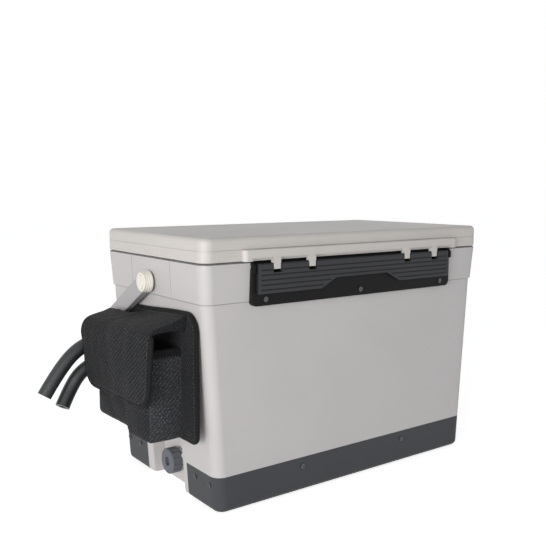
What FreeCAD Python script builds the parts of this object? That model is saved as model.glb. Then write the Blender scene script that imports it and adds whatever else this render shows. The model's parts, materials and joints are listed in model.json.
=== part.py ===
import FreeCAD, Part
import math
import os

# Portable water-circulating therapy unit: an insulated box with a lift-up lid, a carrying bail, a soft
# pouch on its left end that holds the controller, a pump inside, and two insulated hose tails.
# Millimetres. X runs along the long side with the pouch at -X, Y runs from the latch side to the hinge
# side, Z is up. The origin is the centre of the underside.

Vector = FreeCAD.Vector

# ---------------------------------------------------------------- driving dimensions: insulated box
BODY_LENGTH = 480.0        # rim, end to end
BODY_DEPTH = 264.0         # rim, front to back
BODY_HEIGHT = 305.0        # underside to the rim's top face
RIM_HEIGHT = 48.0          # thicker band round the top of the box
RIM_TAPER = 3.0            # how far the band leans in on each side, top to bottom
STEP_INSET = 1.6           # step below the band
END_DRAFT = 18.0           # how far each end wall leans in between the band and the underside
SIDE_DRAFT = 1.0           # the same for the front and back walls
CORNER_RADIUS = 14.0       # upright corners
BASE_ROUND = 8.0           # round along the bottom edges
SHELL_WALL = 3.0
TRAY_WALL = 2.5            # dark base tray that the shell stands in
TRAY_HEIGHT = 46.0
LINER_WALL = 3.0
END_WALL = 34.0            # whole insulated wall at the ends, at the rim
SIDE_WALL = 24.0           # whole insulated wall at front and back, at the rim
FLOOR_THICKNESS = 23.0     # underside to the cavity's floor
CAVITY_END_DRAFT = 16.0
CAVITY_SIDE_DRAFT = 6.0
CAVITY_RADIUS = 16.0
END_GROOVE = 0.6           # fine grooves in the rim's ends: depth and half width
END_GROOVE_Y = 53.0
RIM_ROUND = 1.6            # along the rim's top edge
STEP_ROUND = 1.0           # along the band's lower edge
TRAY_SCREW_HEIGHT = 34.0
TRAY_SCREW_X = 90.0
TRAY_SCREW_INSETS = (56.0, 22.0)   # from the front and back faces, on the ends

# ---------------------------------------------------------------- screws
SCREW_RADIUS = 1.5
SCREW_GAP = 0.1
SCREW_HEAD = 3.2
SCREW_HEAD_HEIGHT = 1.4
SCREW_SOCKET = 1.1
SCREW_SOCKET_DEPTH = 0.8
CASE_SCREW = 1.2
CASE_SCREW_HEAD = 2.5
CASE_SCREW_SOCKET = 0.9
CASE_SCREW_SINK = 1.5

# ---------------------------------------------------------------- lid
LID_GAP = 1.0              # open seam between the rim and the lid
LID_HEIGHT = 29.5
LID_WALL = 3.0
LID_ROUND = 6.0
LID_EDGE = 1.2             # round along the lower edge
LID_GROOVE_HEIGHT = 14.0   # above the lid's lower edge
LID_GROOVE = 0.9
LID_PLUG_DEPTH = 9.0       # how far the inner panel reaches into the cavity
LID_PLUG_GAP = 2.5
GASKET_WIDTH = 5.0
GASKET_PROUD = 0.7
GASKET_OFFSET = 8.0        # from the cavity's mouth to the seal
LIP_PROUD = 6.5            # raised lip over the latch and the hinge
LIP_HALF = 186.0
LIP_LIFT = 3.5             # the lip's lower edge clears the latch by this much
HOOK_X = (84.0, 138.5)
HOOK_WIDTH = 10.5
HOOK_DROP = 11.0           # hook length below the lid's lower edge
HOOK_THICKNESS = 2.7
HOOK_ROUND = 1.0
LIP_ROUND = 1.8

# ---------------------------------------------------------------- latch and hinge
ROD_RADIUS = 2.5
ROD_DROP = 6.0             # rod axis below the rim's top face
ROD_PROUD = 1.0            # rod axis outside the rim's face
PLATE_HALF = 174.0
PLATE_HEIGHT = 54.0
PLATE_PROUD = 2.5
PLATE_CORNER = 8.0
PLATE_EDGE = 0.8
TROUGH_RADIUS = 7.2        # hollow in the plate that the lever's barrel and the hooks turn in
TROUGH_WALL = 1.5
EAR_WIDTH = 3.5
EAR_RADIUS = 5.0
LEVER_HALF = 167.0
LEVER_DROP = 33.5          # lever length below the rod axis
LEVER_PROUD = 7.0
LEVER_THICKNESS = 4.2
LEVER_TOP_DROP = 2.5       # the lever's flat top below the rim's top face
BARREL_RADIUS = 6.0
NOTCH_DEPTH = 8.0          # lever notch below the rod axis
NOTCH_GAP = 1.0            # each side of a hook
GRIP_CUT_HEIGHT = 13.0
GRIP_CUT_TOP = 45.0
GRIP_CUT_BOTTOM = 72.0
GRIP_CUT_ROUND = 4.0
RIB_COUNT = 5
RIB_PITCH = 6.0
RIB_FOOT = 5.1             # lowest groove above the lever's lower edge
RIB_GROOVE = 1.8
RIB_DEPTH = 0.9
RIB_END = 4.0              # plain strip beside the ribs at the lever's ends
RIB_START = 5.0            # the same beside the grip cut-out
RIB_OVER = 3.0             # the same above it
HINGE_EARS = (0.0, 111.0)
PLATE_SCREW_X = (0.0, 154.0)
PLATE_SCREW_RISE = 8.0
RUNNING_FIT = 0.08
SEAT_GAP = 0.3

# ---------------------------------------------------------------- carrying bail
PIVOT_DROP = 31.5          # pivot axis below the rim's top face
PIVOT_RADIUS = 6.0
PIVOT_SEAT = 12.0          # how far the axles reach in past the casing walls
ARM_THICKNESS = 9.0
ARM_WIDTH = 23.0
ARM_GAP = 1.4              # rim to arm
EYE_RADIUS = 13.0
CAP_RADIUS = 12.4
CAP_THICKNESS = 3.4
CAP_STEP = 3.0
CAP_ROUND = 0.6
ARM_ROUND = 1.6
BAR_RADIUS = 10.0
GRIP_RADIUS = 13.5
GRIP_LENGTH = 130.0
BAIL_REST = 30.0           # degrees below level, to the rear
BAIL_REST_GAP = 0.5

# ---------------------------------------------------------------- drain
DRAIN_HEIGHT = 30.5
RECESS_DEPTH = 20.0
RECESS_HALF = 43.0
RECESS_HEIGHT = 80.0
RECESS_CORNER = 22.0
RECESS_LIP = 4.0           # round along the recess's mouth
RECESS_SURROUND = 55.0     # half width of the shell's own face around the recess
DRAIN_BORE = 7.0
DRAIN_NECK = 10.0
DRAIN_NUT_RADIUS = 15.5
DRAIN_NUT_THICKNESS = 2.5
DRAIN_GASKET = 1.0
DRAIN_NECK_LENGTH = 12.0   # outside the recess wall
PLUG_RADIUS = 17.0
PLUG_LENGTH = 14.0
PLUG_SEAL = 1.2
PLUG_SOCKET_RADIUS = 6.0
PLUG_SOCKET_DEPTH = 4.0
PLUG_FLUTES = 12
PLUG_FLUTE_RADIUS = 2.2
PLUG_FLUTE_START = 3.0     # plain band beside the plug's outer end
PLUG_FLUTE_SHIFT = 1.0     # flutes' axes outside the plug's rim
TETHER_THICKNESS = 1.6
TETHER_WIDTH = 6.0
TETHER_RING = 4.0          # ring's width round the neck
TETHER_STUD = 2.2
TETHER_PAD = 4.2           # round end of the strap on its stud
TETHER_INSET = 9.0         # stud from the recess's side
TETHER_RISE = 3.0          # stud above the drain collar
PLUG_ROUND = 1.2
SEAL_GAP = 0.05
SEAL_LIP = 2.0

# ---------------------------------------------------------------- hoses and ports
HOSE_RADIUS = 9.5
HOSE_TUBE_RADIUS = 6.0
HOSE_BORE = 4.0
PORT_RADIUS = 5.0
PORT_BORE = 3.2
PORT_FLANGE = 10.3
PORT_FLANGE_THICKNESS = 3.0
PORT_INSET = 50.0          # ports from the back face
SUPPLY_PORT_DROP = 64.0    # below the rim band
RETURN_PORT_DROP = 90.0
PORT_REACH = 14.0          # port's threaded end inside the cavity
PORT_STUB = 9.0            # stub that the hose is pushed over, outside the flange
STUB_GAP = 0.05
NUT_RADIUS = 9.0
NUT_THICKNESS = 4.0
NUT_GAP = 0.5
HOSE_FIRST_RUN = 33.0
# Bends of the two hoses, from their ports' faces: hand-chosen points.
SUPPLY_BENDS = ((-67.6, 0.6, -9.8), (-96.1, 1.4, -35.8), (-119.6, 2.2, -67.8))
RETURN_BENDS = ((-69.9, 1.0, -16.8), (-88.4, 2.2, -44.3), (-99.9, 3.6, -63.8))

# ---------------------------------------------------------------- pouch and controller
POUCH_INSET = 18.0         # back panel's front edge, from the front face
POUCH_TO_PORTS = 14.0      # back panel's rear edge, from the ports' line
POUCH_DROP = 12.0          # panel's top edge below the rim band
POUCH_HEIGHT = 157.0
PANEL_THICKNESS = 4.0
PANEL_GAP = 0.6
PANEL_CORNER = 22.0
POCKET_INSETS = (36.0, 6.0)  # from the panel's front and rear edges
POCKET_DROP = 45.0         # below the panel's top edge
POCKET_DEPTH = 43.5
POCKET_LEAN = 5.0          # extra depth at the rear end
POCKET_WALL = 2.6
POCKET_CORNER = 12.0
BINDING_HEIGHT = 9.0
BINDING_THICKNESS = 1.2
FLAP_INSETS = (21.0, -2.0)  # from the panel's front and rear edges
FLAP_DROP = 3.0            # sewn edge below the panel's top edge
FLAP_LENGTH = 107.0        # sewn edge down to the hem
FLAP_THICKNESS = 3.2
# Front and rear end of the flap's section: sewn edge out to the shoulder, shoulder below the sewn
# edge, and how far the hem stands out past the shoulder.
FLAP_DEPTHS = (48.0, 67.0)
FLAP_FALLS = (11.0, 21.0)
FLAP_FLARES = (7.0, -7.0)
FLAP_BEND = 14.0
FLAP_CORNER = 22.0
FLAP_EAR = 20.0            # how far the flap's front side hangs down
FLAP_HINGE_END = 10.0      # rear end of the sewn edge
ARM_RELIEF = 24.0          # flap behind the sewn edge's end starts this far from the hinge line
PATCH_THICKNESS = 1.0
PATCH_LENGTH = 70.0
PATCH_HEIGHT = 18.0
PATCH_RISE = 12.0          # above the flap's hem
RIVET_DROP = 17.0
RIVET_Y = (-75.0, -28.0, 10.0)
RIVET_RADIUS = 2.0
RIVET_HEAD_RADIUS = 4.8
RIVET_HEAD = 1.2
CASE_LENGTH = 104.0
CASE_DEPTH = 32.0
CASE_HEIGHT = 84.0
CASE_WALL = 2.2
CASE_CLEARANCE = 1.0
CASE_ROUND = 5.0
CASE_BOSS = 3.0
CASE_BOSS_SINK = 0.6       # bosses run into the side walls by this much
CASE_RAIL = 3.0            # width of the two rails that hold the board
COVER_THICKNESS = 3.0
COVER_ROUND = 1.0
CASE_SCREW_REACH = 8.0     # into the bosses
BOARD_DROP = 13.0          # board's upper face below the case's top
BOARD_THICKNESS = 1.6
SWITCH_HALF = 3.0
SWITCH_BODY = 3.4
SWITCH_PLUNGER = 1.7
SWITCH_HEIGHT = 5.0        # board to the plunger's top
LENS_RADIUS = 2.5
LENS_OFFSET = 16.0
LENS_PROUD = 1.0
LENS_ROUND = 0.8
DC_OFFSET = 30.0
BUTTON_RADIUS = 7.0
BUTTON_TRAVEL = 2.0
BUTTON_PROUD = 3.0
BUTTON_ROUND = 1.0
BUTTON_STEM = 2.5
BUTTON_FLANGE = 1.4        # flange's width round the button
BUTTON_FLANGE_THICKNESS = 1.6
DC_BORE = 2.8
DC_DEPTH = 9.0
DC_RADIUS = 5.0
DC_RIM = 2.0
DC_RIM_THICKNESS = 1.5
DC_FLOOR = 2.0
DC_PIN = 1.05

# ---------------------------------------------------------------- pump
PUMP_INSETS = (90.0, 58.0)  # inlet end from the left rim end, axis from the back face
PUMP_LENGTH = 58.0
PUMP_ROUND = 6.0
PUMP_COVER = 3.5
PUMP_SHAFT_SEAT = 4.0
PUMP_WIDTH = 40.0
PUMP_HEIGHT = 44.0
PUMP_FOOT = 5.0
VOLUTE_LENGTH = 16.0
IMPELLER_RADIUS = 13.0
IMPELLER_WIDTH = 7.0
IMPELLER_HUB = 4.0
IMPELLER_VANES = 6
IMPELLER_GAP = 1.5
IMPELLER_BACK_GAP = 1.0
VANE_TIP_GAP = 0.5
VANE_THICKNESS = 1.2
DISC_THICKNESS = 1.6
MAGNET_GAP = 0.6
SHAFT_SEAT_COVER = 1.8     # shaft's seat in the cover
GRILLE_ROWS = 3
GRILLE_PITCH = 3.6
GRILLE_SLOT = 1.8
FOOT_RADIUS = 7.0
FOOT_INSET = 1.0           # feet from the housing's edges
SPOUT_REACH = 22.0
SPOUT_DROP = 30.0
MAGNET_RADIUS = 7.5
MAGNET_LENGTH = 24.0
CAN_END_GAP = 2.0          # behind the magnet
PUMP_SHAFT = 1.5
RISER_RADIUS = 6.5
RISER_BORE = 4.5
CABLE_RADIUS = 2.6
GLAND_RADIUS = 7.0
GLAND_PROUD = 3.0          # outside the wall
GLAND_HEAD = 4.0           # head inside the cavity
GLAND_REACH = 6.0          # tip inside the cavity

# ---------------------------------------------------------------- levels and faces worked out from them
HALF_LENGTH = BODY_LENGTH / 2
HALF_DEPTH = BODY_DEPTH / 2
RIM_BOTTOM = BODY_HEIGHT - RIM_HEIGHT
LID_BOTTOM = BODY_HEIGHT + LID_GAP
LID_TOP = LID_BOTTOM + LID_HEIGHT
ROD_Y = HALF_DEPTH + ROD_PROUD
ROD_Z = BODY_HEIGHT - ROD_DROP
PIVOT_Z = BODY_HEIGHT - PIVOT_DROP
ARM_INNER = HALF_LENGTH + ARM_GAP
BODY_INSET = SHELL_WALL + TRAY_WALL
END_LEAN = math.atan(END_DRAFT / RIM_BOTTOM)
SIDE_LEAN = math.atan(SIDE_DRAFT / RIM_BOTTOM)
PORT_Y = HALF_DEPTH - PORT_INSET
SUPPLY_PORT_Z = RIM_BOTTOM - SUPPLY_PORT_DROP
RETURN_PORT_Z = RIM_BOTTOM - RETURN_PORT_DROP
POUCH_FRONT = POUCH_INSET - HALF_DEPTH
POUCH_REAR = PORT_Y - POUCH_TO_PORTS
POUCH_TOP = RIM_BOTTOM - POUCH_DROP
POUCH_BOTTOM = POUCH_TOP - POUCH_HEIGHT
POCKET_FRONT = POUCH_FRONT + POCKET_INSETS[0]
POCKET_REAR = POUCH_REAR - POCKET_INSETS[1]
POCKET_TOP = POUCH_TOP - POCKET_DROP
FLAP_FRONT = POUCH_FRONT + FLAP_INSETS[0]
FLAP_REAR = POUCH_REAR - FLAP_INSETS[1]
FLAP_TOP = POUCH_TOP - FLAP_DROP
FLAP_BOTTOM = FLAP_TOP - FLAP_LENGTH
PUMP_X = PUMP_INSETS[0] - HALF_LENGTH
PUMP_Y = HALF_DEPTH - PUMP_INSETS[1]


def end_half(z):
    """Half length of the box's outer form at a height."""
    if z >= RIM_BOTTOM:
        return HALF_LENGTH - RIM_TAPER * (BODY_HEIGHT - z) / RIM_HEIGHT
    return HALF_LENGTH - RIM_TAPER - STEP_INSET - END_DRAFT * (1 - z / RIM_BOTTOM)


def side_half(z):
    """Half depth of the box's outer form at a height."""
    if z >= RIM_BOTTOM:
        return HALF_DEPTH - RIM_TAPER * (BODY_HEIGHT - z) / RIM_HEIGHT
    return HALF_DEPTH - RIM_TAPER - STEP_INSET - SIDE_DRAFT * (1 - z / RIM_BOTTOM)


def cavity_end(z):
    """Half length of the cavity at a height."""
    share = (BODY_HEIGHT - z) / (BODY_HEIGHT - FLOOR_THICKNESS)
    return HALF_LENGTH - END_WALL - CAVITY_END_DRAFT * share


def cavity_side(z):
    """Half depth of the cavity at a height."""
    share = (BODY_HEIGHT - z) / (BODY_HEIGHT - FLOOR_THICKNESS)
    return HALF_DEPTH - SIDE_WALL - CAVITY_SIDE_DRAFT * share


# ---------------------------------------------------------------- small makers
def block(x0, x1, y0, y1, z0, z1):
    return Part.makeBox(x1 - x0, y1 - y0, z1 - z0, Vector(x0, y0, z0))


def rod(radius, start, end):
    return Part.makeCylinder(radius, (end - start).Length, start, end - start)


def along_x(radius, x0, x1, y, z):
    return rod(radius, Vector(x0, y, z), Vector(x1, y, z))


def ring_x(outer, inner, x0, x1, y, z):
    return along_x(outer, x0, x1, y, z).cut(along_x(inner, x0 - 1, x1 + 1, y, z))


def fuse_all(shapes):
    return shapes[0].multiFuse(shapes[1:]).removeSplitter()


def tapered(low, high, radius):
    """Round-cornered block between two levels; low and high are (half x, half y, z)."""
    low_x, low_y, low_z = low
    high_x, high_y, high_z = high
    solid = Part.makeWedge(-low_x, low_z, -low_y, -high_y, -high_x, low_x, high_z, low_y, high_y, high_x)
    solid.rotate(Vector(0, 0, 0), Vector(1, 0, 0), 90)
    upright = [edge for edge in solid.Edges if edge.BoundBox.ZLength > (high_z - low_z) / 2]
    return solid.makeFillet(radius, upright)


def level_edges(shape, z):
    return [edge for edge in shape.Edges
            if abs(edge.BoundBox.ZMin - z) < 1e-4 and abs(edge.BoundBox.ZMax - z) < 1e-4]


def end_edges(shape, x):
    return [edge for edge in shape.Edges
            if abs(edge.BoundBox.XMin - x) < 1e-4 and abs(edge.BoundBox.XMax - x) < 1e-4]


def outline_prism(points, radii, along):
    """Prism of a polygon whose corners are rounded by radii; along is the extrusion vector."""
    face = Part.Face(Part.makePolygon(points + points[:1]))
    solid = face.extrude(along)
    for point, radius in zip(points, radii):
        if radius:
            edges = [edge for edge in solid.Edges if is_corner_edge(edge, point, along)]
            solid = solid.makeFillet(radius, edges)
    return solid


def is_corner_edge(edge, point, along):
    ends = [vertex.Point for vertex in edge.Vertexes]
    if len(ends) != 2:
        return False
    return all(min((end - point).Length, (end - point - along).Length) < 1e-4 for end in ends)


# ---------------------------------------------------------------- cord paths
def cord_path(points):
    """Straight runs joined by tangent arcs, each as large as its two runs allow."""
    edges = []
    radii = []
    start = points[0]
    for before, corner, after in zip(points, points[1:], points[2:]):
        back = before - corner
        ahead = after - corner
        trim = 0.45 * min(back.Length, ahead.Length)
        half_turn = (math.pi - back.getAngle(ahead)) / 2
        radius = trim / math.tan(half_turn)
        back.normalize()
        ahead.normalize()
        inward = (back + ahead).normalize()
        arc_start = corner + back * trim
        arc_middle = corner + inward * (radius / math.cos(half_turn) - radius)
        arc_end = corner + ahead * trim
        edges.append(Part.LineSegment(start, arc_start).toShape())
        edges.append(Part.Arc(arc_start, arc_middle, arc_end).toShape())
        radii.append(round(radius, 1))
        start = arc_end
    edges.append(Part.LineSegment(start, points[-1]).toShape())
    return Part.Wire(edges), radii


def swept_tube(points, outer, inner, name):
    """Tube of an outer and an inner radius (0 for a solid cord) along a route of points."""
    path, radii = cord_path(points)
    heading = points[1] - points[0]
    solid = sweep_circle(path, outer, points[0], heading)
    section = math.pi * outer ** 2
    if inner:
        solid = solid.cut(sweep_circle(path, inner, points[0], heading))
        section -= math.pi * inner ** 2
    print("%s: radii %s mm, length %.1f mm, volume ratio %.4f"
          % (name, radii, path.Length, solid.Volume / (section * path.Length)))
    return solid


def sweep_circle(path, radius, start, heading):
    outline = Part.Wire(Part.makeCircle(radius, start, heading))
    return path.makePipeShell([outline], True, False)


# ---------------------------------------------------------------- box
def box_form(inset, floor):
    """The box's outer form, moved in by inset and standing on floor."""
    radius = CORNER_RADIUS - inset
    low = (end_half(floor) - inset, side_half(floor) - inset, floor)
    below_step = HALF_LENGTH - RIM_TAPER - STEP_INSET - inset
    below_step_y = HALF_DEPTH - RIM_TAPER - STEP_INSET - inset
    wall = tapered(low, (below_step, below_step_y, RIM_BOTTOM + inset), radius)
    wall = wall.makeFillet(BASE_ROUND - inset, level_edges(wall, floor))
    band = RIM_BOTTOM + inset
    rim_low = (end_half(band) - inset, side_half(band) - inset, band)
    rim = tapered(rim_low, (HALF_LENGTH - inset, HALF_DEPTH - inset, BODY_HEIGHT), radius)
    if not inset:
        rim = rim.makeFillet(STEP_ROUND, level_edges(rim, RIM_BOTTOM))
    return wall.fuse(rim).removeSplitter()


def recess_cutter(margin):
    """Drain recess in the left end wall, open at the bottom; margin grows it into the wall."""
    half = RECESS_HALF + margin
    top = RECESS_HEIGHT + margin
    inner_x = -end_half(DRAIN_HEIGHT) + RECESS_DEPTH + margin
    outer_x = -HALF_LENGTH - 1
    points = [Vector(outer_x, -half, -1), Vector(outer_x, half, -1), Vector(outer_x, half, top),
              Vector(outer_x, -half, top)]
    radius = RECESS_CORNER + margin
    return outline_prism(points, (0, 0, radius, radius), Vector(inner_x - outer_x, 0, 0))


def is_recess_mouth(edge):
    """True for the edges where the recess meets the end wall's face."""
    middle = edge.valueAt((edge.FirstParameter + edge.LastParameter) / 2)
    inside = abs(middle.y) < RECESS_HALF + 0.01 and BASE_ROUND < middle.z < RECESS_HEIGHT + 0.01
    return inside and abs(middle.x + end_half(middle.z)) < 0.01


def pocket_cutter(side):
    """Pocket in the rim for the trough of the latch plate (side -1) or hinge plate (side 1)."""
    reach = TROUGH_RADIUS - ROD_PROUD + TROUGH_WALL + SEAT_GAP
    inner = side * (HALF_DEPTH - reach)
    outer = side * (HALF_DEPTH + LIP_PROUD)
    half = PLATE_HALF - EAR_WIDTH / 2 + SEAT_GAP
    low = ROD_Z - TROUGH_RADIUS - TROUGH_WALL - SEAT_GAP
    return block(-half, half, min(inner, outer), max(inner, outer), low, BODY_HEIGHT + 1)


def wall_holes(gap):
    """Bores through the left wall for the two hose ports, the cable gland and the drain neck."""
    holes = [rod(PORT_RADIUS + gap, inside - port_direction(), outside + port_direction())
             for inside, outside in (port_ends(PORT_Y, SUPPLY_PORT_Z), port_ends(PORT_Y, RETURN_PORT_Z))]
    cable_y, cable_z = gland_place()
    holes.append(along_x(GLAND_RADIUS / 2 + gap, -HALF_LENGTH, -cavity_end(cable_z) + 1, cable_y, cable_z))
    holes.append(along_x(DRAIN_NECK + gap, -HALF_LENGTH, -cavity_end(DRAIN_HEIGHT), 0, DRAIN_HEIGHT))
    return holes


def port_direction():
    """Unit vector out of the left wall, square to its lean."""
    return Vector(-math.cos(END_LEAN), 0, -math.sin(END_LEAN))


def port_ends(y, z):
    """Axis of a hose port, from the cavity's wall to the outer wall's face."""
    outside = Vector(-end_half(z), y, z)
    reach = end_half(z) - cavity_end(z)
    return outside - port_direction() * reach, outside


def gland_place():
    return (POCKET_FRONT + POCKET_REAR) / 2 + CASE_LENGTH / 3, POUCH_BOTTOM + CASE_HEIGHT * 0.8


def cavity_form(grow):
    """The cavity's space, grown by the liner's wall when grow is its thickness."""
    floor = FLOOR_THICKNESS - grow
    radius = CAVITY_RADIUS + grow
    low = (cavity_end(floor) + grow, cavity_side(floor) + grow, floor)
    high = (cavity_end(BODY_HEIGHT) + grow, cavity_side(BODY_HEIGHT) + grow, BODY_HEIGHT)
    form = tapered(low, high, radius)
    return form.makeFillet(BASE_ROUND + grow, level_edges(form, floor))


def tray_form():
    """Base tray: a thin cup round the shell's foot, left open at the drain recess."""
    whole = box_form(0, 0).common(block(-HALF_LENGTH, HALF_LENGTH, -HALF_DEPTH, HALF_DEPTH, 0, TRAY_HEIGHT))
    inside_x = -end_half(DRAIN_HEIGHT) + RECESS_DEPTH + BODY_INSET
    opening = block(-HALF_LENGTH, inside_x, -RECESS_SURROUND, RECESS_SURROUND, -1, TRAY_HEIGHT + 1)
    return whole.cut(box_form(TRAY_WALL, TRAY_WALL)).cut(opening)


def body_solid():
    """The shell's outer form, before it is hollowed."""
    form = box_form(0, 0)
    form = form.makeFillet(RIM_ROUND, level_edges(form, BODY_HEIGHT))
    return form.cut(tray_form()).cut(pocket_cutter(-1)).cut(pocket_cutter(1))


def end_grooves():
    """Two fine upright grooves across each end of the rim."""
    core = box_form(END_GROOVE, END_GROOVE)
    grooves = []
    for side_x in (-1, 1):
        x0, x1 = sorted((side_x * (end_half(0) + 2), side_x * (HALF_LENGTH + 1)))
        for side_y in (-1, 1):
            y = side_y * END_GROOVE_Y
            groove = block(x0, x1, y - END_GROOVE, y + END_GROOVE, RIM_BOTTOM - 5, BODY_HEIGHT - 1)
            grooves.append(groove.cut(core))
    return grooves


def body_shell():
    hollow = box_form(BODY_INSET, BODY_INSET)
    walls = body_solid().cut(recess_cutter(0))
    walls = walls.makeFillet(RECESS_LIP, [edge for edge in walls.Edges if is_recess_mouth(edge)])
    walls = walls.cut(hollow.cut(recess_cutter(SHELL_WALL)))
    holes = wall_holes(SEAT_GAP) + tray_screw_holes() + plate_screw_holes() + pivot_holes() + rivet_holes()
    for hole in holes + rod_grooves() + end_grooves():
        walls = walls.cut(hole)
    return walls


def rim_frame():
    """Flat frame that closes the foam between the casing's rim and the tub; the lid's gasket lies on it."""
    bottom = BODY_HEIGHT - LINER_WALL
    low = (end_half(bottom) - BODY_INSET, side_half(bottom) - BODY_INSET, bottom)
    high = (HALF_LENGTH - BODY_INSET, HALF_DEPTH - BODY_INSET, BODY_HEIGHT)
    frame = tapered(low, high, CORNER_RADIUS - BODY_INSET)
    return frame.cut(cavity_form(LINER_WALL)).cut(pocket_cutter(-1)).cut(pocket_cutter(1))


def inner_liner():
    tub = cavity_form(LINER_WALL).cut(cavity_form(0))
    for hole in wall_holes(SEAT_GAP):
        tub = tub.cut(hole)
    return tub


def body_foam():
    flange = block(-HALF_LENGTH, HALF_LENGTH, -HALF_DEPTH, HALF_DEPTH,
                   BODY_HEIGHT - LINER_WALL, BODY_HEIGHT)
    fill = box_form(BODY_INSET, BODY_INSET).cut(cavity_form(LINER_WALL)).cut(flange)
    fill = fill.cut(recess_cutter(SHELL_WALL)).cut(pocket_cutter(-1)).cut(pocket_cutter(1))
    for hole in wall_holes(SEAT_GAP) + pivot_holes():
        fill = fill.cut(hole)
    return fill


def base_tray():
    tray = tray_form()
    for hole in tray_screw_holes():
        tray = tray.cut(hole)
    return tray


# ---------------------------------------------------------------- tray screws
def tray_screw_places():
    """Each screw's point on the tray's face and its outward direction, square to that face."""
    z = TRAY_SCREW_HEIGHT
    ys = [sign * (HALF_DEPTH - inset) for inset in TRAY_SCREW_INSETS for sign in (-1, 1)]
    places = []
    for side in (-1, 1):
        to_side = Vector(0, side * math.cos(SIDE_LEAN), -math.sin(SIDE_LEAN))
        to_end = Vector(side * math.cos(END_LEAN), 0, -math.sin(END_LEAN))
        places += [(Vector(x, side * side_half(z), z), to_side) for x in (-TRAY_SCREW_X, TRAY_SCREW_X)]
        places += [(Vector(side * end_half(z), y, z), to_end) for y in ys]
    return places


def tray_screw_holes():
    """Screw holes through the tray and on into the shell's wall."""
    depth = TRAY_WALL + SHELL_WALL * 2 / 3
    radius = SCREW_RADIUS + SCREW_GAP
    return [rod(radius, place - out * depth, place + out) for place, out in tray_screw_places()]


def tray_screws():
    depth = TRAY_WALL + SHELL_WALL / 2
    return Part.makeCompound([pan_screw(place, out, depth) for place, out in tray_screw_places()])


def pan_screw(place, out, depth):
    """Small pan-head screw with a round socket; its head stands on the face at place."""
    head = rod(SCREW_HEAD, place, place + out * SCREW_HEAD_HEIGHT)
    shank = rod(SCREW_RADIUS, place - out * depth, place)
    socket_floor = place + out * (SCREW_HEAD_HEIGHT - SCREW_SOCKET_DEPTH)
    return head.fuse(shank).cut(rod(SCREW_SOCKET, socket_floor, place + out * (SCREW_HEAD_HEIGHT + 1)))


# ---------------------------------------------------------------- latch and hinge
def plate_outline(side):
    """Plate blank, front view, with round lower corners; it reaches into the rim's lean."""
    inner = HALF_DEPTH - RIM_TAPER - STEP_INSET - 1
    outer = HALF_DEPTH + PLATE_PROUD
    low = BODY_HEIGHT - PLATE_HEIGHT
    points = [Vector(-PLATE_HALF, side * inner, low), Vector(PLATE_HALF, side * inner, low),
              Vector(PLATE_HALF, side * inner, BODY_HEIGHT), Vector(-PLATE_HALF, side * inner, BODY_HEIGHT)]
    blank = outline_prism(points, (PLATE_CORNER, PLATE_CORNER, 0, 0), Vector(0, side * (outer - inner), 0))
    return blank.makeFillet(PLATE_EDGE, [edge for edge in blank.Edges if is_front_edge(edge, side * outer)])


def is_front_edge(edge, y):
    """True for the edges in the upright face at y, below the rim's top face."""
    box = edge.BoundBox
    return abs(box.YMin - y) < 1e-4 and abs(box.YMax - y) < 1e-4 and box.ZMin < BODY_HEIGHT - 1


def rod_plate(side, ear_places, trough_half):
    """Plate with a trough and ears that hold the rod; it is seated on the rim's own faces."""
    reach = TROUGH_RADIUS - ROD_PROUD + TROUGH_WALL
    low = ROD_Z - TROUGH_RADIUS - TROUGH_WALL
    half = PLATE_HALF - EAR_WIDTH / 2
    y_in, y_out = sorted((side * (HALF_DEPTH - reach), side * (HALF_DEPTH + PLATE_PROUD)))
    blank = plate_outline(side).fuse(block(-half, half, y_in, y_out, low, BODY_HEIGHT))
    trough = along_x(TROUGH_RADIUS, -trough_half, trough_half, side * ROD_Y, ROD_Z)
    y_in, y_out = sorted((side * (ROD_Y - TROUGH_RADIUS), side * (ROD_Y + TROUGH_RADIUS)))
    trough = trough.fuse(block(-trough_half, trough_half, y_in, y_out, ROD_Z, BODY_HEIGHT + 1))
    y_in, y_out = sorted((side * ROD_Y, side * (ROD_Y + TROUGH_RADIUS)))
    trough = trough.fuse(block(-trough_half, trough_half, y_in, y_out, ROD_Z - TROUGH_RADIUS,
                               BODY_HEIGHT + 1))
    plate = blank.cut(trough)
    plate = fuse_all([plate] + [rod_ear(side, x, low + TROUGH_WALL, reach) for x in ear_places])
    bore = along_x(ROD_RADIUS + RUNNING_FIT, -BODY_LENGTH, BODY_LENGTH, side * ROD_Y, ROD_Z)
    plate = plate.cut(bore).cut(body_solid())
    for place in plate_screw_places(side):
        plate = plate.cut(rod(SCREW_RADIUS + SCREW_GAP, place, place - Vector(0, side * HALF_DEPTH, 0)))
    return plate


def rod_ear(side, x, low, reach):
    """Lug round the rod, with a web back to the trough's wall and down to its floor."""
    start = x - EAR_WIDTH / 2
    lug = along_x(EAR_RADIUS, start, start + EAR_WIDTH, side * ROD_Y, ROD_Z)
    back = sorted((side * (HALF_DEPTH - reach), side * ROD_Y))
    under = sorted((side * (HALF_DEPTH - reach), side * (ROD_Y + EAR_RADIUS)))
    webs = [block(start, start + EAR_WIDTH, back[0], back[1], low, ROD_Z + EAR_RADIUS),
            block(start, start + EAR_WIDTH, under[0], under[1], low, ROD_Z)]
    return fuse_all([lug] + webs)


def end_ears():
    return (-(PLATE_HALF - EAR_WIDTH / 2), PLATE_HALF - EAR_WIDTH / 2)


def latch_plate():
    return rod_plate(-1, end_ears(), PLATE_HALF - EAR_WIDTH)


def hinge_plate():
    middle = [sign * x for x in HINGE_EARS for sign in (-1, 1)]
    return rod_plate(1, tuple(middle) + end_ears(), PLATE_HALF - EAR_WIDTH)


def pivot_rod(side):
    half = PLATE_HALF - EAR_WIDTH / 4
    return along_x(ROD_RADIUS, -half, half, side * ROD_Y, ROD_Z)


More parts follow.
